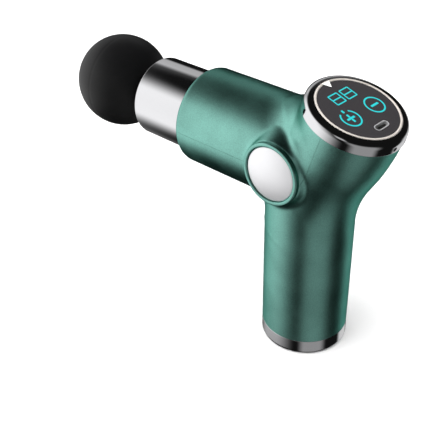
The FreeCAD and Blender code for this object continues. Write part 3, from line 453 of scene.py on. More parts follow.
def finish(slot):
    """The material of one slot of the record, made once."""
    name = SLOT_FINISH[slot].__name__
    return bpy.data.materials.get(name) or SLOT_FINISH[slot]()


# ---------------------------------------------------------------- mesh helpers

SHARP = math.radians(30.0)          # edges that turn more than this stay sharp


def new_piece(name, mesh, slot, body, *stands_for, look=None):
    """Put a mesh in the scene as a finished piece that rides on a body."""
    mesh.materials.clear()
    mesh.materials.append(look or finish(slot))
    mesh.polygons.foreach_set("use_smooth", [True] * len(mesh.polygons))
    mesh.set_sharp_from_angle(angle=SHARP)
    piece = bpy.data.objects.new(name, mesh)
    bpy.context.scene.collection.objects.link(piece)
    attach(piece, body)
    if stands_for:
        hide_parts(*stands_for)
    return piece


def mesh_from(name, bm):
    """Turn a bmesh into a mesh and free it."""
    mesh = bpy.data.meshes.new(name)
    bm.to_mesh(mesh)
    bm.free()
    return mesh


def rounded_outline(corners, steps=6):
    """Replace each (along, radius, round) corner by a tangent arc with a narrow flat each side."""
    outline = []
    count = len(corners)
    for index, (along, radius, bend) in enumerate(corners):
        here = Vector((along, radius))
        if not bend:
            outline.append(here)
            continue
        before = (Vector(corners[index - 1][:2]) - here).normalized()
        after = (Vector(corners[(index + 1) % count][:2]) - here).normalized()
        half = before.angle(after) / 2
        middle = here + (before + after).normalized() * (bend / math.sin(half))
        reach = bend / math.tan(half)
        first = here + before * reach - middle
        sweep = first.angle_signed(here + after * reach - middle)
        flat = 0.08 * MM
        outline.append(here + before * (reach + flat))
        for step in range(steps + 1):
            turn = Matrix.Rotation(-sweep * step / steps, 2)
            outline.append(middle + turn @ first)
        outline.append(here + after * (reach + flat))
    return outline


def lathe(corners, matrix, segments=128, closed=True, steps=6):
    """Turn an outline of (along, radius, round) corners about the local Z axis of a matrix."""
    outline = rounded_outline(corners, steps)
    bm = bmesh.new()
    rings = []
    for along, radius in outline:
        if radius < 1e-7:
            rings.append([bm.verts.new((0, 0, along))] * segments)
            continue
        rings.append([bm.verts.new((radius * math.cos(math.tau * i / segments),
                                    radius * math.sin(math.tau * i / segments), along))
                      for i in range(segments)])
    pairs = list(zip(rings, rings[1:]))
    if closed:
        pairs.append((rings[-1], rings[0]))
    for low, high in pairs:
        for i in range(segments):
            j = (i + 1) % segments
            corner_list = []
            for vert in (low[i], low[j], high[j], high[i]):
                if vert not in corner_list:
                    corner_list.append(vert)
            if len(corner_list) > 2:
                bm.faces.new(corner_list)
    bmesh.ops.recalc_face_normals(bm, faces=bm.faces)
    bmesh.ops.transform(bm, matrix=matrix, verts=bm.verts)
    return bm


def cut_away(piece, cutters):
    """Cut closed meshes out of a piece and remove them."""
    for index, mesh in enumerate(cutters):
        tool = bpy.data.objects.new("cutter", mesh)
        bpy.context.scene.collection.objects.link(tool)
        modifier = piece.modifiers.new("cut_%d" % index, "BOOLEAN")
        modifier.operation = "DIFFERENCE"
        modifier.solver = "EXACT"
        modifier.object = tool
        bake_modifiers(piece)
        bpy.data.objects.remove(tool)
        bpy.data.meshes.remove(mesh)


def bake_modifiers(piece):
    """Turn a piece's modifiers into its plain mesh."""
    graph = bpy.context.evaluated_depsgraph_get()
    graph.update()
    mesh = bpy.data.meshes.new_from_object(piece.evaluated_get(graph))
    old = piece.data
    piece.modifiers.clear()
    piece.data = mesh
    bpy.data.meshes.remove(old)


# ---------------------------------------------------------------- housing

class Blend:
    """Signed distance of tubes joined by blends that fade out where the tubes run alike."""

    nudge = 0.05 * MM               # step over which a slope is measured
    same_way = 1.2                  # tubes that face further apart than this blend no wider
    hub_level = 12.0 * MM           # the hub keeps its width this far below the glass
    hub_lip = 0.3 * MM              # it steps in by this much under the bezel
    hub_end = 75.0 * MM             # it runs out below this depth
    flare_depth = 9.0 * MM          # a boss widens over this depth
    boss_inset = 0.2 * MM           # its face is this much smaller than the ring
    top_fade = 11.0 * MM            # blends grow over this depth below the hub's edge
    top_saddle = 0.55               # share of the saddle's blend that is there at that edge
    waist_limit = 8.5 * MM          # widest blend from handle to hub

    def __init__(self, settings):
        self.s = settings
        self.tilt_axis = np.array(HUB_UP)
        self.glass = np.array(GLASS)

    def tube(self, points, origin, axis, radius):
        """Distance from a tube whose radius may vary along it, and the way its side faces."""
        offset = points - origin
        along = offset @ axis
        away = offset - along[:, None] * axis
        reach = np.maximum(np.linalg.norm(away, axis=1), 1e-9)
        if not callable(radius):
            return reach - radius, away / reach[:, None]
        slope = (radius(along + self.nudge) - radius(along - self.nudge)) / (2 * self.nudge)
        stretch = np.sqrt(1 + slope ** 2)
        facing = away / reach[:, None] - slope[:, None] * axis
        return (reach - radius(along)) / stretch, facing / stretch[:, None]

    def join(self, first, second, reach, limit=1.0):
        """Blend two distances over a reach that shrinks as their directions agree."""
        (d1, n1), (d2, n2) = first, second
        apart = np.clip(1 - np.einsum("ij,ij->i", n1, n2), 0.0, self.same_way)
        width = np.clip(reach * apart, 1e-6, limit)
        share = np.clip(0.5 + 0.5 * (d2 - d1) / width, 0, 1)
        distance = d2 * (1 - share) + d1 * share - width * share * (1 - share)
        heading = n2 * (1 - share)[:, None] + n1 * share[:, None]
        size = np.maximum(np.linalg.norm(heading, axis=1), 1e-9)
        return distance, heading / size[:, None]

    def hub_size(self, along):
        """Hub radius: level near the bezel, then falling along an arc into a steady taper."""
        lip = self.hub_lip * np.clip(-along / self.hub_level - 0.5, 0, 1)
        drop = np.clip(-along - self.hub_level, 0, None)
        bend = self.s.hub_taper * self.s.hub_crown
        arc = np.minimum(drop, bend) ** 2 / (2 * self.s.hub_crown)
        taper = self.s.hub_taper * np.maximum(drop - bend, 0)
        end = np.maximum(-along - self.hub_end, 0)
        return self.s.hub_radius - lip - arc - taper - end

    def boss_size(self, along):
        """Boss radius: wider towards the body."""
        depth = np.clip(self.s.boss_face - np.abs(along), 0, self.flare_depth)
        return self.s.boss_radius - self.boss_inset + self.s.boss_flare * depth

    def __call__(self, points):
        """Distance of points from the skin; handle and barrel end in round caps at their meeting."""
        s = self.s
        handle = self.tube(points, np.zeros(3), np.array((0, 0, 1.0)), s.handle_radius)
        high = points[:, 2] - AXIS_Z > 0
        offset = points - np.array((0, 0, AXIS_Z))
        ball = np.maximum(np.linalg.norm(offset, axis=1), 1e-9)
        handle[0][high] = ball[high] - s.handle_radius
        handle[1][high] = (offset / ball[:, None])[high]
        barrel = self.tube(points, np.array((0, 0, AXIS_Z)), np.array((1.0, 0, 0)), s.barrel_radius)
        behind = points[:, 0] > 0
        barrel[0][behind] = ball[behind] - s.barrel_radius
        barrel[1][behind] = (offset / ball[:, None])[behind]
        hub = self.tube(points, self.glass, self.tilt_axis, self.hub_size)
        below = (self.glass - points) @ self.tilt_axis - s.hub_top
        fade = np.clip(below / self.top_fade, 0.0, 1.0)
        stem = self.join(handle, hub, s.waist_blend * fade, self.waist_limit)
        crotch = self.join(handle, barrel, s.crotch_blend)
        reach = s.saddle_blend * (self.top_saddle + (1 - self.top_saddle) * fade)
        saddle = self.join(barrel, hub, reach)
        body = self.merge(stem, crotch, saddle)
        boss = self.tube(points, np.array((MOTOR_X, 0, AXIS_Z)), np.array((0, 1.0, 0)),
                         self.boss_size)
        whole = self.join(body, boss, s.boss_blend)[0]
        return np.maximum(whole, np.abs(points[:, 1]) - s.boss_face)

    @staticmethod
    def merge(*fields):
        """Plain union of blended pairs."""
        distances = np.stack([field[0] for field in fields])
        nearest = distances.argmin(axis=0)
        rows = np.arange(distances.shape[1])
        headings = np.stack([field[1] for field in fields])[nearest, rows]
        return distances[nearest, rows], headings


def surface_net(field, low, high, step):
    """Quads of the zero surface of a field, one vertex to a grid cell."""
    axes = [np.arange(low[i], high[i], step) for i in range(3)]
    grid = np.stack(np.meshgrid(*axes, indexing="ij"), axis=-1)
    shape = grid.shape[:3]
    values = field(grid.reshape(-1, 3)).reshape(shape)
    inside = values < 0
    total = np.zeros(tuple(n - 1 for n in shape) + (3,))
    hits = np.zeros(tuple(n - 1 for n in shape))
    crossings = []
    for axis in range(3):
        ahead = [slice(None)] * 3
        ahead[axis] = slice(1, None)
        back = [slice(None)] * 3
        back[axis] = slice(None, -1)
        ahead, back = tuple(ahead), tuple(back)
        crossed = inside[ahead] != inside[back]
        share = np.where(crossed, values[back] / np.where(crossed, values[back] - values[ahead], 1), 0)
        spots = grid[back] + (grid[ahead] - grid[back]) * share[..., None]
        crossings.append((crossed, inside[back]))
        others = [a for a in range(3) if a != axis]
        for shift_a in (0, 1):
            for shift_b in (0, 1):
                pick = [slice(None)] * 3
                pick[others[0]] = slice(shift_a, shape[others[0]] - 1 + shift_a)
                pick[others[1]] = slice(shift_b, shape[others[1]] - 1 + shift_b)
                pick = tuple(pick)
                total += np.where(crossed[pick][..., None], spots[pick], 0)
                hits += crossed[pick]
    used = hits > 0
    numbers = np.full(hits.shape, -1)
    numbers[used] = np.arange(used.sum())
    verts = total[used] / hits[used][:, None]
    quads = []
    for axis, (crossed, solid_behind) in enumerate(crossings):
        others = [a for a in range(3) if a != axis]
        where = np.argwhere(crossed)
        keep = np.all([(where[:, a] > 0) & (where[:, a] < shape[a] - 1) for a in others], axis=0)
        where = where[keep]
        cells = []
        for shift_a, shift_b in ((0, 0), (1, 0), (1, 1), (0, 1)):
            cell = where.copy()
            cell[:, others[0]] -= shift_a
            cell[:, others[1]] -= shift_b
            cells.append(numbers[tuple(cell.T)])
        quad = np.stack(cells, axis=1)
        # faces turn outwards: across Y the other two axes run the opposite way round
        flip = solid_behind[tuple(where.T)] == (axis == 1)
        quad[flip] = quad[flip][:, ::-1]
        quads.append(quad)
    return verts, np.concatenate(quads)


def settle(field, verts, rounds=4, nudge=0.05 * MM):
    """Move points onto the zero surface of a field."""
    for _ in range(rounds):
        slope = np.stack([(field(verts + shift) - field(verts - shift)) / (2 * nudge)
                          for shift in np.eye(3) * nudge], axis=1)
        size = np.maximum((slope ** 2).sum(axis=1), 0.25)
        verts = verts - slope * (field(verts) / size)[:, None]
    return verts


def relax(verts, quads, share=0.5):
    """Move each point part of the way to the middle of its faces."""
    middles = verts[quads].mean(axis=1)
    total = np.zeros_like(verts)
    count = np.zeros(len(verts))
    for corner in range(4):
        np.add.at(total, quads[:, corner], middles)
        np.add.at(count, quads[:, corner], 1)
    return verts * (1 - share) + share * total / np.maximum(count, 1)[:, None]


def housing_skin(settings):
    """Outer skin of both shells, open at the base, the hub and the front, and cut flat at the two
    bosses.
    """
    field = Blend(settings)
    # the net's box clears the skin, except below, where the handle runs out of it and is cut
    low = np.array((settings.barrel_front - 2.4 * MM, -29.3 * MM, 4.7 * MM))
    high = np.array((50.0 * MM, 29.6 * MM, 145.0 * MM))
    verts, quads = surface_net(field, low, high, settings.net_step)
    for _ in range(3):
        verts = settle(field, relax(verts, quads), rounds=3)
    bm = bmesh.new()
    points = [bm.verts.new(v) for v in verts]
    for quad in quads:
        bm.faces.new([points[i] for i in quad])
    trim(bm, (0, 0, settings.handle_base), (0, 0, -1))
    trim(bm, GLASS - HUB_UP * settings.hub_top, HUB_UP)
    trim(bm, (settings.barrel_front + settings.rim_round, 0, 0), (-1, 0, 0))
    return bm


def trim(bm, point, normal):
    """Cut a mesh along a plane and drop what lies on the plane's outer side."""
    bmesh.ops.bisect_plane(bm, geom=bm.verts[:] + bm.edges[:] + bm.faces[:], dist=1e-6,
                           plane_co=point, plane_no=normal, clear_outer=True)


def round_front(bm, settings):
    """Carry the open front edge round the rim's arc and in to the bore."""
    start = settings.barrel_front + settings.rim_round
    edges = [e for e in bm.edges if e.is_boundary
             and all(abs(v.co.x - start) < 1e-5 for v in e.verts)]
    inner = settings.barrel_radius - settings.rim_round
    steps = 8
    path = [(start - settings.rim_round * math.sin(t), inner + settings.rim_round * math.cos(t))
            for t in (math.radians(90 * i / steps) for i in range(1, steps + 1))]
    chamfer = 0.25 * MM
    path.append((settings.barrel_front, settings.bore_radius + chamfer))
    path.append((settings.barrel_front + chamfer, settings.bore_radius))
    for x, radius in path:
        grown = bmesh.ops.extrude_edge_only(bm, edges=edges)["geom"]
        edges = [g for g in grown if isinstance(g, bmesh.types.BMEdge)]
        for vert in [g for g in grown if isinstance(g, bmesh.types.BMVert)]:
            spot = Vector((0, vert.co.y, vert.co.z - AXIS_Z)).normalized() * radius
            vert.co = Vector((x, spot.y, spot.z + AXIS_Z))


def close_top(bm, settings):
    """Carry the open edge at the hub's top in under the bezel."""
    edges = [e for e in bm.edges if e.is_boundary
             and all(abs((GLASS - v.co).dot(HUB_UP) - settings.hub_top) < 1e-5 for v in e.verts)]
    middle = GLASS - HUB_UP * settings.hub_top
    tuck = 1.2 * MM
    grown = bmesh.ops.extrude_edge_only(bm, edges=edges)["geom"]
    for vert in [g for g in grown if isinstance(g, bmesh.types.BMVert)]:
        vert.co = middle + (vert.co - middle).normalized() * (settings.hub_radius - tuck)


def part_shell(skin, upper, seam):
    """Copy one side of the parting line, which runs level along the barrel and up the hub."""
    bm = skin.copy()
    for gap in (-seam, seam):
        for point, normal in (((0, 0, AXIS_Z + gap), (0, 0, 1)), (GLASS + HUB_BACK * gap, HUB_BACK)):
            bmesh.ops.bisect_plane(bm, geom=bm.verts[:] + bm.edges[:] + bm.faces[:], dist=1e-7,
                                   plane_co=point, plane_no=normal)
    drop = []
    for face in bm.faces:
        spot = face.calc_center_median()
        height = spot.z - AXIS_Z
        ahead = (GLASS - spot).dot(HUB_BACK)
        level = min(height, ahead)
        if (level < seam) if upper else (level > -seam):
            drop.append(face)
    bmesh.ops.delete(bm, geom=drop, context="FACES")
    bmesh.ops.recalc_face_normals(bm, faces=bm.faces)
    return bm


class GUN_OT_housing(bpy.types.Operator):
    """Blended upper and lower shells with their parting line"""
    bl_idname = "gun.housing"
    bl_label = "Housing shells"

    def execute(self, context):
        sizes = context.scene.gun_housing
        skin = housing_skin(sizes)
        round_front(skin, sizes)
        close_top(skin, sizes)
        bmesh.ops.recalc_face_normals(skin, faces=skin.faces)
        for upper, node in ((True, "upper_shell"), (False, "lower_shell")):
            bm = part_shell(skin, upper, sizes.seam)
            piece = new_piece(node + "_skin", mesh_from(node, bm), "green_shell", "housing", node)
            wall = piece.modifiers.new("wall", "SOLIDIFY")
            wall.thickness = sizes.wall
            wall.offset = -1.0
            bake_modifiers(piece)
            piece.data.set_sharp_from_angle(angle=math.radians(50.0))
        skin.free()
        return {"FINISHED"}


# ---------------------------------------------------------------- turned pieces

SIDES = 160                         # sides of a turned piece
FINE_SIDES = 192                    # sides of one that shows its outline from close by


class GUN_OT_chrome(bpy.types.Operator):
    """Chrome sleeve, bezel and base cap, and the bright trim ring"""
    bl_idname = "gun.chrome"
    bl_label = "Chrome pieces"

    def execute(self, context):
        sizes = context.scene.gun_chrome
        self.sleeve(sizes)
        self.base(sizes)
        self.bezel(sizes)
        self.trim_ring(sizes)
        return {"FINISHED"}

    def sleeve(self, sizes):
        """Polished tube whose flange is held in the barrel."""
        low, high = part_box("nose_sleeve")
        front, rear = low[0], high[0]
        step = rear - sizes.sleeve_flange
        flange = span("nose_sleeve", 1) / 2
        tube = lathe([(front, sizes.sleeve_bore, 0.25 * MM), (front, sizes.sleeve_radius, 0.5 * MM),
                      (step, sizes.sleeve_radius, 0), (step, flange, 0.3 * MM),
                      (rear, flange, 0.3 * MM), (rear, sizes.sleeve_bore, 0)], BARREL, SIDES)
        new_piece("sleeve_tube", mesh_from("sleeve_tube", tube), "chrome", "housing", "nose_sleeve")

    def base(self, sizes):
        """Cup under the handle, with a recess for the foot."""
        radius = span("base_cap", 1) / 2
        height = span("base_cap", 2)
        bore = radius - sizes.base_wall
        floor, recess = sizes.base_floor, sizes.foot_recess
        foot = span("base_pad", 1) / 2 + 0.1 * MM
        cup = lathe([(0, foot, 0.2 * MM), (0, radius, sizes.base_round), (height, radius, 0.2 * MM),
                     (height, bore, 0), (floor, bore, 0), (floor, 0, 0), (recess, 0, 0),
                     (recess, foot, 0)], Matrix.Identity(4), SIDES, closed=False)
        new_piece("base_cup", mesh_from("base_cup", cup), "chrome", "housing", "base_cap")

    def bezel(self, sizes):
        """Bezel with its soft shoulder, its skirt in the hub and three set-screw holes."""
        under = -LENS_THICKNESS - sizes.ledge
        foot, tip = -sizes.bezel_depth, -sizes.skirt_depth
        collar = lathe([(under, sizes.ledge_bore, 0), (-LENS_THICKNESS, sizes.ledge_bore, 0),
                        (-LENS_THICKNESS, sizes.pocket, 0), (0.05 * MM, sizes.pocket, 0.15 * MM),
                        (-0.1 * MM, sizes.bezel_top, sizes.shoulder),
                        (foot, sizes.bezel_foot, 0.25 * MM), (foot, sizes.skirt_root, 0),
                        (tip, sizes.skirt_tip, 0), (tip, sizes.skirt_bore, 0),
                        (under, sizes.skirt_bore, 0)], HUB, FINE_SIDES, steps=10)
        piece = new_piece("bezel_collar", mesh_from("bezel_collar", collar), "chrome", "housing",
                          "bezel")
        start, long = 21.0 * MM, 5 * MM
        holes = []
        for angle in (-6.0, -126.0, 114.0):
            turn = Matrix.Rotation(math.radians(angle), 4, "Z") @ \
                Matrix.Translation((start, 0, -sizes.screw_depth)) @ \
                Matrix.Rotation(math.radians(90), 4, "Y")
            hole = lathe([(0, 0, 0), (0, sizes.screw_hole, 0), (long, sizes.screw_hole, 0),
                          (long, 0, 0)], HUB @ turn, 32, closed=False)
            holes.append(mesh_from("hole", hole))
        cut_away(piece, holes)
        piece.data.set_sharp_from_angle(angle=SHARP)

    def trim_ring(self, sizes):
        """Bright ring round the glass, rounded on top."""
        top, edge = sizes.trim_height, 0.5 * MM
        ring = lathe([(-LENS_THICKNESS, sizes.trim_bore, 0), (-LENS_THICKNESS, sizes.trim_radius, 0),
                      (top, sizes.trim_radius, edge), (top, sizes.trim_bore, edge)], HUB, FINE_SIDES)
        new_piece("trim_band", mesh_from("trim_band", ring), "bright_trim", "housing", "trim_ring")


class GUN_OT_side_caps(bpy.types.Operator):
    """Domed pearl side caps in their green rings"""
    bl_idname = "gun.side_caps"
    bl_label = "Side caps"

    def execute(self, context):
        sizes = context.scene.gun_caps
        for name, side in (("left", -1), ("right", 1)):
            matrix = Matrix.Translation((MOTOR_X, 0, AXIS_Z)) @ \
                Matrix.Rotation(math.radians(-90 * side), 4, "X")
            band = lathe([(sizes.ring_back, sizes.ring_back_bore, 0),
                          (sizes.ring_back, sizes.ring_radius, 0.2 * MM),
                          (sizes.ring_face, sizes.ring_radius, 0.7 * MM),
                          (sizes.ring_face, sizes.ring_bore, 0.5 * MM),
                          (sizes.seat, sizes.ring_bore, 0), (sizes.seat, sizes.ring_back_bore, 0)],
                         matrix, SIDES)
            new_piece("cap_band_" + name, mesh_from("cap_band", band), "green_shell", "housing",
                      "cap_ring_" + name)
            disc = lathe(self.dome(sizes), matrix, SIDES, closed=False)
            new_piece("pearl_disc_" + name, mesh_from("pearl_disc", disc), "satin_cap", "housing",
                      "side_cap_" + name)
        return {"FINISHED"}

    def dome(self, sizes, steps=10):
        """Outline of a disc: its domed face from the crown out, then its rim and its back."""
        middle = sizes.disc_face - sizes.dome
        outline = []
        for step in range(steps + 1):
            radius = sizes.disc_radius * step / steps
            outline.append((middle + math.sqrt(sizes.dome ** 2 - radius ** 2), radius, 0))
        outline[-1] = outline[-1][:2] + (0.45 * MM,)
        return outline + [(sizes.seat, sizes.disc_radius, 0), (sizes.seat, 0, 0)]


class GUN_OT_ball_head(bpy.types.Operator):
    """Foam rubber ball with its mould line, on its stem"""
    bl_idname = "gun.ball_head"
    bl_label = "Ball head"

    line_width = 0.012              # half width of the mould line, as an angle
    steps = 96

    def execute(self, context):
        sizes = context.scene.gun_ball
        low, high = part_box("massage_ball")
        middle = low[0] + sizes.radius
        bottom = high[0] - sizes.neck_depth
        profile = [(bottom, 0, 0), (bottom, sizes.neck, 0)]
        start = math.asin(sizes.neck / sizes.radius)
        for step in range(self.steps):
            angle = start + (math.pi - start) * step / self.steps
            line = math.exp(-((angle - math.pi / 2) / self.line_width) ** 2)
            reach = sizes.radius - sizes.mould_line * line
            profile.append((middle + reach * math.cos(angle), reach * math.sin(angle), 0))
        profile.append((middle - sizes.radius, 0, 0))
        ball = new_piece("foam_ball", mesh_from("foam_ball", lathe(profile, BARREL, FINE_SIDES,
                                                                closed=False)),
                         "ball_rubber", "massage_head", "massage_ball")
        return {"FINISHED"}


# ---------------------------------------------------------------- display

def block(outline, low, high):
    """Straight-sided block on an outline of (x, y) points, closed at both ends."""
    bm = bmesh.new()
    floor = [bm.verts.new((x, y, low)) for x, y in outline]
    roof = [bm.verts.new((x, y, high)) for x, y in outline]
    bm.faces.new(roof)
    bm.faces.new(floor[::-1])
    count = len(outline)
    for i in range(count):
        j = (i + 1) % count
        bm.faces.new((floor[i], floor[j], roof[j], roof[i]))
    bmesh.ops.recalc_face_normals(bm, faces=bm.faces)
    return bm


def pointed_bar(half_long, half_wide, low, high, taper):
    """Six-sided bar with pointed ends, as a display segment has."""
    flat = half_long - taper
    return block([(-half_long, 0), (-flat, -half_wide), (flat, -half_wide), (half_long, 0),
                  (flat, half_wide), (-flat, half_wide)], low, high)


def copies_on_points(name, spots, shape, material):
    """Copies of a mesh on points, each turned by its own angle, through a node tree."""
    points = bpy.data.meshes.new(name)
    points.from_pydata([spot[:3] for spot in spots], [], [])
    turn = points.attributes.new("turn", "FLOAT", "POINT")
    turn.data.foreach_set("value", [spot[3] for spot in spots])
    carrier = bpy.data.objects.new(name, points)
    bpy.context.scene.collection.objects.link(carrier)
    pattern = bpy.data.objects.new(name + "_pattern", shape)
    bpy.context.scene.collection.objects.link(pattern)
    tree = bpy.data.node_groups.new(name + "_tree", "GeometryNodeTree")
    face = tree.interface
    face.new_socket("Geometry", in_out="INPUT", socket_type="NodeSocketGeometry")
    shape_socket = face.new_socket("Shape", in_out="INPUT", socket_type="NodeSocketObject")
    size_socket = face.new_socket("Size", in_out="INPUT", socket_type="NodeSocketFloat")
    face.new_socket("Geometry", in_out="OUTPUT", socket_type="NodeSocketGeometry")
    inputs = add(tree, "NodeGroupInput")
    shape_info = add(tree, "GeometryNodeObjectInfo", [("Object", inputs.outputs["Shape"])])
    angle = add(tree, "GeometryNodeInputNamedAttribute", data_type="FLOAT")
    angle.inputs["Name"].default_value = "turn"
    vector = add(tree, "ShaderNodeCombineXYZ", [("Z", angle.outputs["Attribute"])])
    spin = add(tree, "FunctionNodeEulerToRotation", [("Euler", vector.outputs["Vector"])])
    place = add(tree, "GeometryNodeInstanceOnPoints",
                [("Points", inputs.outputs["Geometry"]), ("Instance", shape_info.outputs["Geometry"]),
                 ("Rotation", spin.outputs["Rotation"]), ("Scale", inputs.outputs["Size"])])
    real = add(tree, "GeometryNodeRealizeInstances", [("Geometry", place.outputs["Instances"])])
    coat = add(tree, "GeometryNodeSetMaterial", [("Geometry", real.outputs["Geometry"])])
    coat.inputs["Material"].default_value = material
    add(tree, "NodeGroupOutput", [("Geometry", coat.outputs["Geometry"])])
    modifier = carrier.modifiers.new("copies", "NODES")
    modifier.node_group = tree
    modifier[shape_socket.identifier] = pattern
    modifier[size_socket.identifier] = 1.0
    graph = bpy.context.evaluated_depsgraph_get()
    graph.update()
    mesh = bpy.data.meshes.new_from_object(carrier.evaluated_get(graph))
    bpy.data.objects.remove(carrier)
    bpy.data.objects.remove(pattern)
    return mesh


def port_slot(grow, low, high, matrix, steps=10):
    """Closed stadium-shaped block on the port's place, larger all round by what it may grow."""
    half = PORT_WIDE / 2 + grow
    reach = (PORT_LONG - PORT_WIDE) / 2
    outline = []
    for side in (-1, 1):
        for i in range(steps + 1):
            angle = math.pi * i / steps
            outline.append((PORT_BACK + side * half * math.cos(angle),
                            side * (reach + half * math.sin(angle))))
    bm = block(outline, low, high)
    bmesh.ops.transform(bm, matrix=matrix, verts=bm.verts)
    return bm


def flat_arc(radius, width, start, end, low, high, steps=64):
    """Flat band along an arc, closed all round."""
    bm = bmesh.new()
    full = abs(end - start) > math.tau - 1e-6
    count = steps if full else steps + 1
    rows = []
    for i in range(count):
        angle = start + (end - start) * i / steps
        ring = []
        for reach, level in ((radius - width / 2, low), (radius + width / 2, low),
                             (radius + width / 2, high), (radius - width / 2, high)):
            ring.append(bm.verts.new((reach * math.cos(angle), reach * math.sin(angle), level)))
        rows.append(ring)
    pairs = list(zip(rows, rows[1:]))
    if full:
        pairs.append((rows[-1], rows[0]))
    else:
        bm.faces.new(rows[0])
        bm.faces.new(rows[-1])
    for first, second in pairs:
        for k in range(4):
            m = (k + 1) % 4
            bm.faces.new((first[k], first[m], second[m], second[k]))
    bmesh.ops.recalc_face_normals(bm, faces=bm.faces)
    return bm


def join_into(target, source, matrix):
    """Add one bmesh to another through a matrix and free it."""
    bmesh.ops.transform(source, matrix=matrix, verts=source.verts)
    mesh = mesh_from("joined", source)
    target.from_mesh(mesh)
    bpy.data.meshes.remove(mesh)


class GUN_OT_display(bpy.types.Operator):
    """Smoked window with its lit figures, marker and charging port"""
    bl_idname = "gun.display"
    bl_label = "Display"

    glass_radius = 18.8 * MM
    stroke = 0.62 * MM              # width of a digit's bars
    ring_stroke = 0.75 * MM
    sign_stroke = 1.1 * MM
    low = 0.01 * MM                 # figures stand this far off the glass
    high = 0.06 * MM

    def execute(self, context):
        window = lathe([(-LENS_THICKNESS, 0, 0), (-LENS_THICKNESS, self.glass_radius, 0),
                        (0, self.glass_radius, 0.2 * MM), (0, 0, 0)], HUB, FINE_SIDES, closed=False)
        piece = new_piece("touch_window", mesh_from("touch_window", window), "display_glass",
                          "housing", "display_lens")
        through = 3 * MM
        cut_away(piece, [mesh_from("slot", port_slot(0.15 * MM, -through, through, HUB))])
        piece.data.set_sharp_from_angle(angle=SHARP)
        self.digits()
        self.icons()
        self.marker()
        self.port()
        return {"FINISHED"}

    def digits(self):
        """Two seven-bar digits whose top is towards the head."""
        size, front = 6.5 * MM, -9.2 * MM
        half = (size - self.stroke) / 2
        overlap = 0.1 * MM
        across = []
        upright = []
        for middle in (-4.0 * MM, 4.0 * MM):
            for step in (-1, 0, 1):
                across.append((front + step * half, middle, 0, math.radians(90)))
            for step in (-0.5, 0.5):
                for edge in (-1, 1):
                    upright.append((front + step * half, middle + edge * half, 0, 0.0))
        for name, spots, reach in (("digit_bars_across", across, half),
                                   ("digit_bars_upright", upright, half / 2)):
            bar = mesh_from("bar", pointed_bar(reach + overlap, self.stroke / 2, self.low, self.high,
                                               self.stroke / 4))
            mesh = copies_on_points(name, spots, bar, finish("light_guide"))
            mesh.transform(HUB)
            new_piece(name, mesh, "light_guide", "housing")

    def icons(self):
        """Minus icon, and plus icon whose ring opens at the front for the power mark."""
        back, side, radius = 2.4 * MM, 8.75 * MM, 4.75 * MM
        half, arm_half, power_half = 2.6 * MM, 1.02 * MM, 0.95 * MM
        taper, power_shift = 0.2 * MM, 0.1 * MM
        opening = math.radians(34)
        bm = bmesh.new()

        def bar(long, matrix):
            join_into(bm, pointed_bar(long, self.sign_stroke / 2, self.low, self.high, taper), matrix)

        for sign in (-1, 1):
            gap = opening if sign < 0 else 0.0
            place = HUB @ Matrix.Translation((back, sign * side, 0))
            ring = flat_arc(radius, self.ring_stroke, math.pi + gap, 3 * math.pi - gap, self.low,
                            self.high)
            join_into(bm, ring, place)
            bar(half, place @ Matrix.Rotation(math.radians(90), 4, "Z"))
            if sign < 0:
                for end in (-1, 1):
                    bar(arm_half, place @ Matrix.Translation((end * (half - arm_half), 0, 0)))
                bar(power_half, place @ Matrix.Translation((power_shift - radius, 0, 0)))
        new_piece("touch_icons", mesh_from("touch_icons", bm), "light_guide", "housing")

    def marker(self):
        """White triangle printed over the front of the trim ring."""
        tip, base, half = -15.6 * MM, -19.3 * MM, 2.5 * MM
        low, high = 0.25 * MM, 0.36 * MM
        bm = block([(base, -half), (tip, 0), (base, half)], low, high)
        bmesh.ops.transform(bm, matrix=HUB, verts=bm.verts)
        new_piece("marker_print", mesh_from("marker_print", bm), "marker_white", "housing",
                  "trim_marker")

    def port(self):
        """Drawn steel receptacle, and the row of contacts on its tongue."""
        proud, wall = 0.05 * MM, 0.3 * MM
        back, floor = -9.4 * MM, -8.4 * MM
        can = port_slot(proud, back, proud, HUB)
        piece = new_piece("port_can", mesh_from("port_can", can), "plain_steel", "housing",
                          "usb_port_shell", look=tin_plate())
        cut_away(piece, [mesh_from("bore", port_slot(-wall, floor, 1 * MM, HUB))])
        count, pitch = 12, 0.5 * MM
        spots = [(PORT_BACK, (i - (count - 1) / 2) * pitch, 0, 0.0) for i in range(count)]
        low, high = -2.0 * MM, -1.55 * MM
        pad = mesh_from("pad", pointed_bar(0.42 * MM, 0.13 * MM, low, high, 0.02 * MM))
        mesh = copies_on_points("port_contacts", spots, pad, finish("nickel"))
        mesh.transform(HUB)
        new_piece("port_contacts", mesh, "nickel", "housing")


# ---------------------------------------------------------------- CAD pieces that stay

class GUN_OT_finishes(bpy.types.Operator):
    """Give every CAD piece that stays its own finish"""
    bl_idname = "gun.finishes"
    bl_label = "Inner pieces"

    def execute(self, context):
        slots = {part["node"]: part["material_slot"] for part in frame["record"]["subparts"]}
        for name, item in frame["nodes"].items():
            material = finish(slots[name])
            if not item.material_slots:
                item.data.materials.append(material)
            for slot in item.material_slots:
                slot.material = material
        return {"FINISHED"}


# ---------------------------------------------------------------- stage

STUDIO = 8.0                        # half width of the floor and radius of the backdrop, metres
ROOM_GLOW = 0.008                   # light from the dark walls between the panels

# name, way towards the light, strength, and spread in degrees
SUNS = (
    ("key", (-0.35, -0.45, 1.0), 3.0, 60),
    ("fill", (0.3, 0.3, 1.0), 3.2, 110),
)

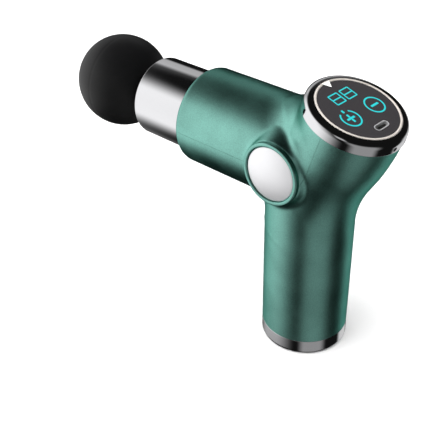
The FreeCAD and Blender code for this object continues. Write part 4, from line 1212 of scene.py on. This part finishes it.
# bearing from the camera (middle, half, soft edge), height (the same), in degrees, and strength
SOFT_PANELS = (
    (-106, 16, 60, -2, 26, 24, 1.18),
    (18, 20, 22, -33, 25, 25, 0.34),
    (128, 14, 16, -33, 22, 20, 0.70),
    (177, 16, 14, 27, 7, 8, 0.50),
    (-22, 5, 12, 20, 4, 14, 0.60),
)


class GUN_OT_stage(bpy.types.Operator):
    """Pale floor, soft lights and the camera"""
    bl_idname = "gun.stage"
    bl_label = "Stage"

    def execute(self, context):
        self.camera(context.scene.gun_stage)
        self.floor()
        self.backdrop()
        self.lights(context.scene.gun_stage)
        return {"FINISHED"}

    def camera(self, s):
        """Camera at its distance from the target, turned by azimuth, elevation and roll."""
        back = Vector((math.sin(s.azimuth) * math.cos(s.elevation),
                       -math.cos(s.azimuth) * math.cos(s.elevation), math.sin(s.elevation)))
        level = Vector((math.cos(s.azimuth), math.sin(s.azimuth), 0))
        upright = back.cross(level)
        right = level * math.cos(s.roll) + upright * math.sin(s.roll)
        up = upright * math.cos(s.roll) - level * math.sin(s.roll)
        data = bpy.data.cameras.new("camera")
        data.lens = s.focal
        data.sensor_width = 36.0
        camera = bpy.data.objects.new("camera", data)
        turn = Matrix((right, up, back)).transposed().to_4x4()
        camera.matrix_world = Matrix.Translation(Vector(s.target) + back * s.distance) @ turn
        bpy.context.scene.collection.objects.link(camera)
        bpy.context.scene.camera = camera

    def floor(self):
        """Pale paper just under the object, which mirrors don't show."""
        bm = bmesh.new()
        bmesh.ops.create_grid(bm, x_segments=8, y_segments=8, size=STUDIO)
        mesh = mesh_from("floor", bm)
        mesh.materials.append(surface("studio_paper", srgb("#F4F4F4"), 0.8, 2 * MM, mottle=0.005,
                                      bump=0.0))
        floor = bpy.data.objects.new("floor", mesh)
        floor.location.z = -0.2 * MM
        floor.visible_glossy = False
        bpy.context.scene.collection.objects.link(floor)

    def backdrop(self):
        """White paper far behind on every side, which neither lights nor shades the object."""
        bm = bmesh.new()
        bmesh.ops.create_uvsphere(bm, u_segments=48, v_segments=24, radius=STUDIO)
        mesh = mesh_from("backdrop", bm)
        paper = bpy.data.materials.new("backlit_paper")
        paper.use_nodes = True
        shader = paper.node_tree.nodes["Principled BSDF"]
        shader.inputs["Base Color"].default_value = srgb("#000000") + (1.0,)
        shader.inputs["Emission Color"].default_value = srgb("#FFFFFF") + (1.0,)
        shader.inputs["Emission Strength"].default_value = 1.0
        mesh.materials.append(paper)
        backdrop = bpy.data.objects.new("backdrop", mesh)
        for ray in ("glossy", "diffuse", "transmission", "shadow"):
            setattr(backdrop, "visible_" + ray, False)
        bpy.context.scene.collection.objects.link(backdrop)

    def lights(self, s):
        """Two wide suns for the dull surfaces, and the panels that glossy ones mirror."""
        for name, way, power, spread in SUNS:
            data = bpy.data.lights.new(name, "SUN")
            data.energy = power
            data.angle = math.radians(spread)
            sun = bpy.data.objects.new(name, data)
            sun.rotation_mode = "QUATERNION"
            sun.rotation_quaternion = Vector(way).to_track_quat("Z", "Y")
            sun.visible_glossy = False
            bpy.context.scene.collection.objects.link(sun)
        self.surround(s)

    def surround(self, s):
        """Dark studio with soft panels, each at a bearing and a height seen from the object."""
        world = bpy.data.worlds.new("studio")
        world.use_nodes = True
        bpy.context.scene.world = world
        tree = world.node_tree
        place = add(tree, "ShaderNodeTexCoord")
        way = add(tree, "ShaderNodeVectorRotate", [("Vector", place.outputs["Generated"])],
                  rotation_type="Z_AXIS", Angle=-s.azimuth)
        split = add(tree, "ShaderNodeSeparateXYZ", [("Vector", way.outputs["Vector"])])
        ahead = add(tree, "ShaderNodeMath", [(0, split.outputs["Y"])], operation="MULTIPLY")
        ahead.inputs[1].default_value = -1.0
        bearing = add(tree, "ShaderNodeMath", [(0, split.outputs["X"]), (1, ahead.outputs[0])],
                      operation="ARCTAN2")
        height = add(tree, "ShaderNodeMath", [(0, split.outputs["Z"])], operation="ARCSINE")
        total = None
        for panel in SOFT_PANELS:
            bearing_at, bearing_half, bearing_soft, height_at, height_half, height_soft, power = panel
            side = self.window(tree, bearing.outputs[0], bearing_at, bearing_half, bearing_soft)
            rise = self.window(tree, height.outputs[0], height_at, height_half, height_soft)
            both = add(tree, "ShaderNodeMath", [(0, side), (1, rise)], operation="MULTIPLY")
            lit = add(tree, "ShaderNodeMath", [(0, both.outputs[0])], operation="MULTIPLY")
            lit.inputs[1].default_value = power
            if total is None:
                total = lit
                continue
            total = add(tree, "ShaderNodeMath", [(0, total.outputs[0]), (1, lit.outputs[0])],
                        operation="ADD")
        room = add(tree, "ShaderNodeMath", [(0, total.outputs[0])], operation="ADD")
        room.inputs[1].default_value = ROOM_GLOW
        background = tree.nodes["Background"]
        tree.links.new(room.outputs[0], background.inputs["Color"])

    def window(self, tree, angle, middle, half, soft):
        """One inside a span of angles (degrees), falling smoothly to nothing at its soft edge."""
        off = add(tree, "ShaderNodeMath", [(0, angle)], operation="SUBTRACT")
        off.inputs[1].default_value = math.radians(middle)
        turn = add(tree, "ShaderNodeMath", [(0, off.outputs[0])], operation="WRAP")
        turn.inputs[1].default_value = math.pi
        turn.inputs[2].default_value = -math.pi
        size = add(tree, "ShaderNodeMath", [(0, turn.outputs[0])], operation="ABSOLUTE")
        fade = add(tree, "ShaderNodeMapRange", [("Value", size.outputs[0])],
                   interpolation_type="SMOOTHSTEP")
        fade.inputs["From Min"].default_value = math.radians(half)
        fade.inputs["From Max"].default_value = math.radians(half + soft)
        fade.inputs["To Min"].default_value = 1.0
        fade.inputs["To Max"].default_value = 0.0
        return fade.outputs["Result"]


# ---------------------------------------------------------------- panel and registration

OPERATORS = (GUN_OT_finishes, GUN_OT_housing, GUN_OT_chrome, GUN_OT_side_caps, GUN_OT_ball_head,
             GUN_OT_display, GUN_OT_stage)


class GUN_PT_panel(bpy.types.Panel):
    """Lists the steps that build the massage gun"""
    bl_label = "Massage gun"
    bl_idname = "GUN_PT_panel"
    bl_space_type = "VIEW_3D"
    bl_region_type = "UI"
    bl_category = "Massage gun"

    def draw(self, context):
        for operator in OPERATORS:
            self.layout.operator(operator.bl_idname)


SETTINGS = {
    "gun_housing": HousingSettings,
    "gun_chrome": ChromeSettings,
    "gun_caps": CapSettings,
    "gun_ball": BallSettings,
    "gun_finish": FinishSettings,
    "gun_stage": StageSettings,
}
CLASSES = tuple(SETTINGS.values()) + OPERATORS + (GUN_PT_panel,)


def register():
    for item in CLASSES:
        bpy.utils.register_class(item)
    for name, kind in SETTINGS.items():
        setattr(bpy.types.Scene, name, PointerProperty(type=kind))


def unregister():
    for name in SETTINGS:
        delattr(bpy.types.Scene, name)
    for item in reversed(CLASSES):
        bpy.utils.unregister_class(item)


def main():
    register()
    bpy.context.scene.view_settings.view_transform = "Standard"
    for operator in OPERATORS:
        space, name = operator.bl_idname.split(".")
        getattr(getattr(bpy.ops, space), name)()


if __name__ == "__main__":
    main()
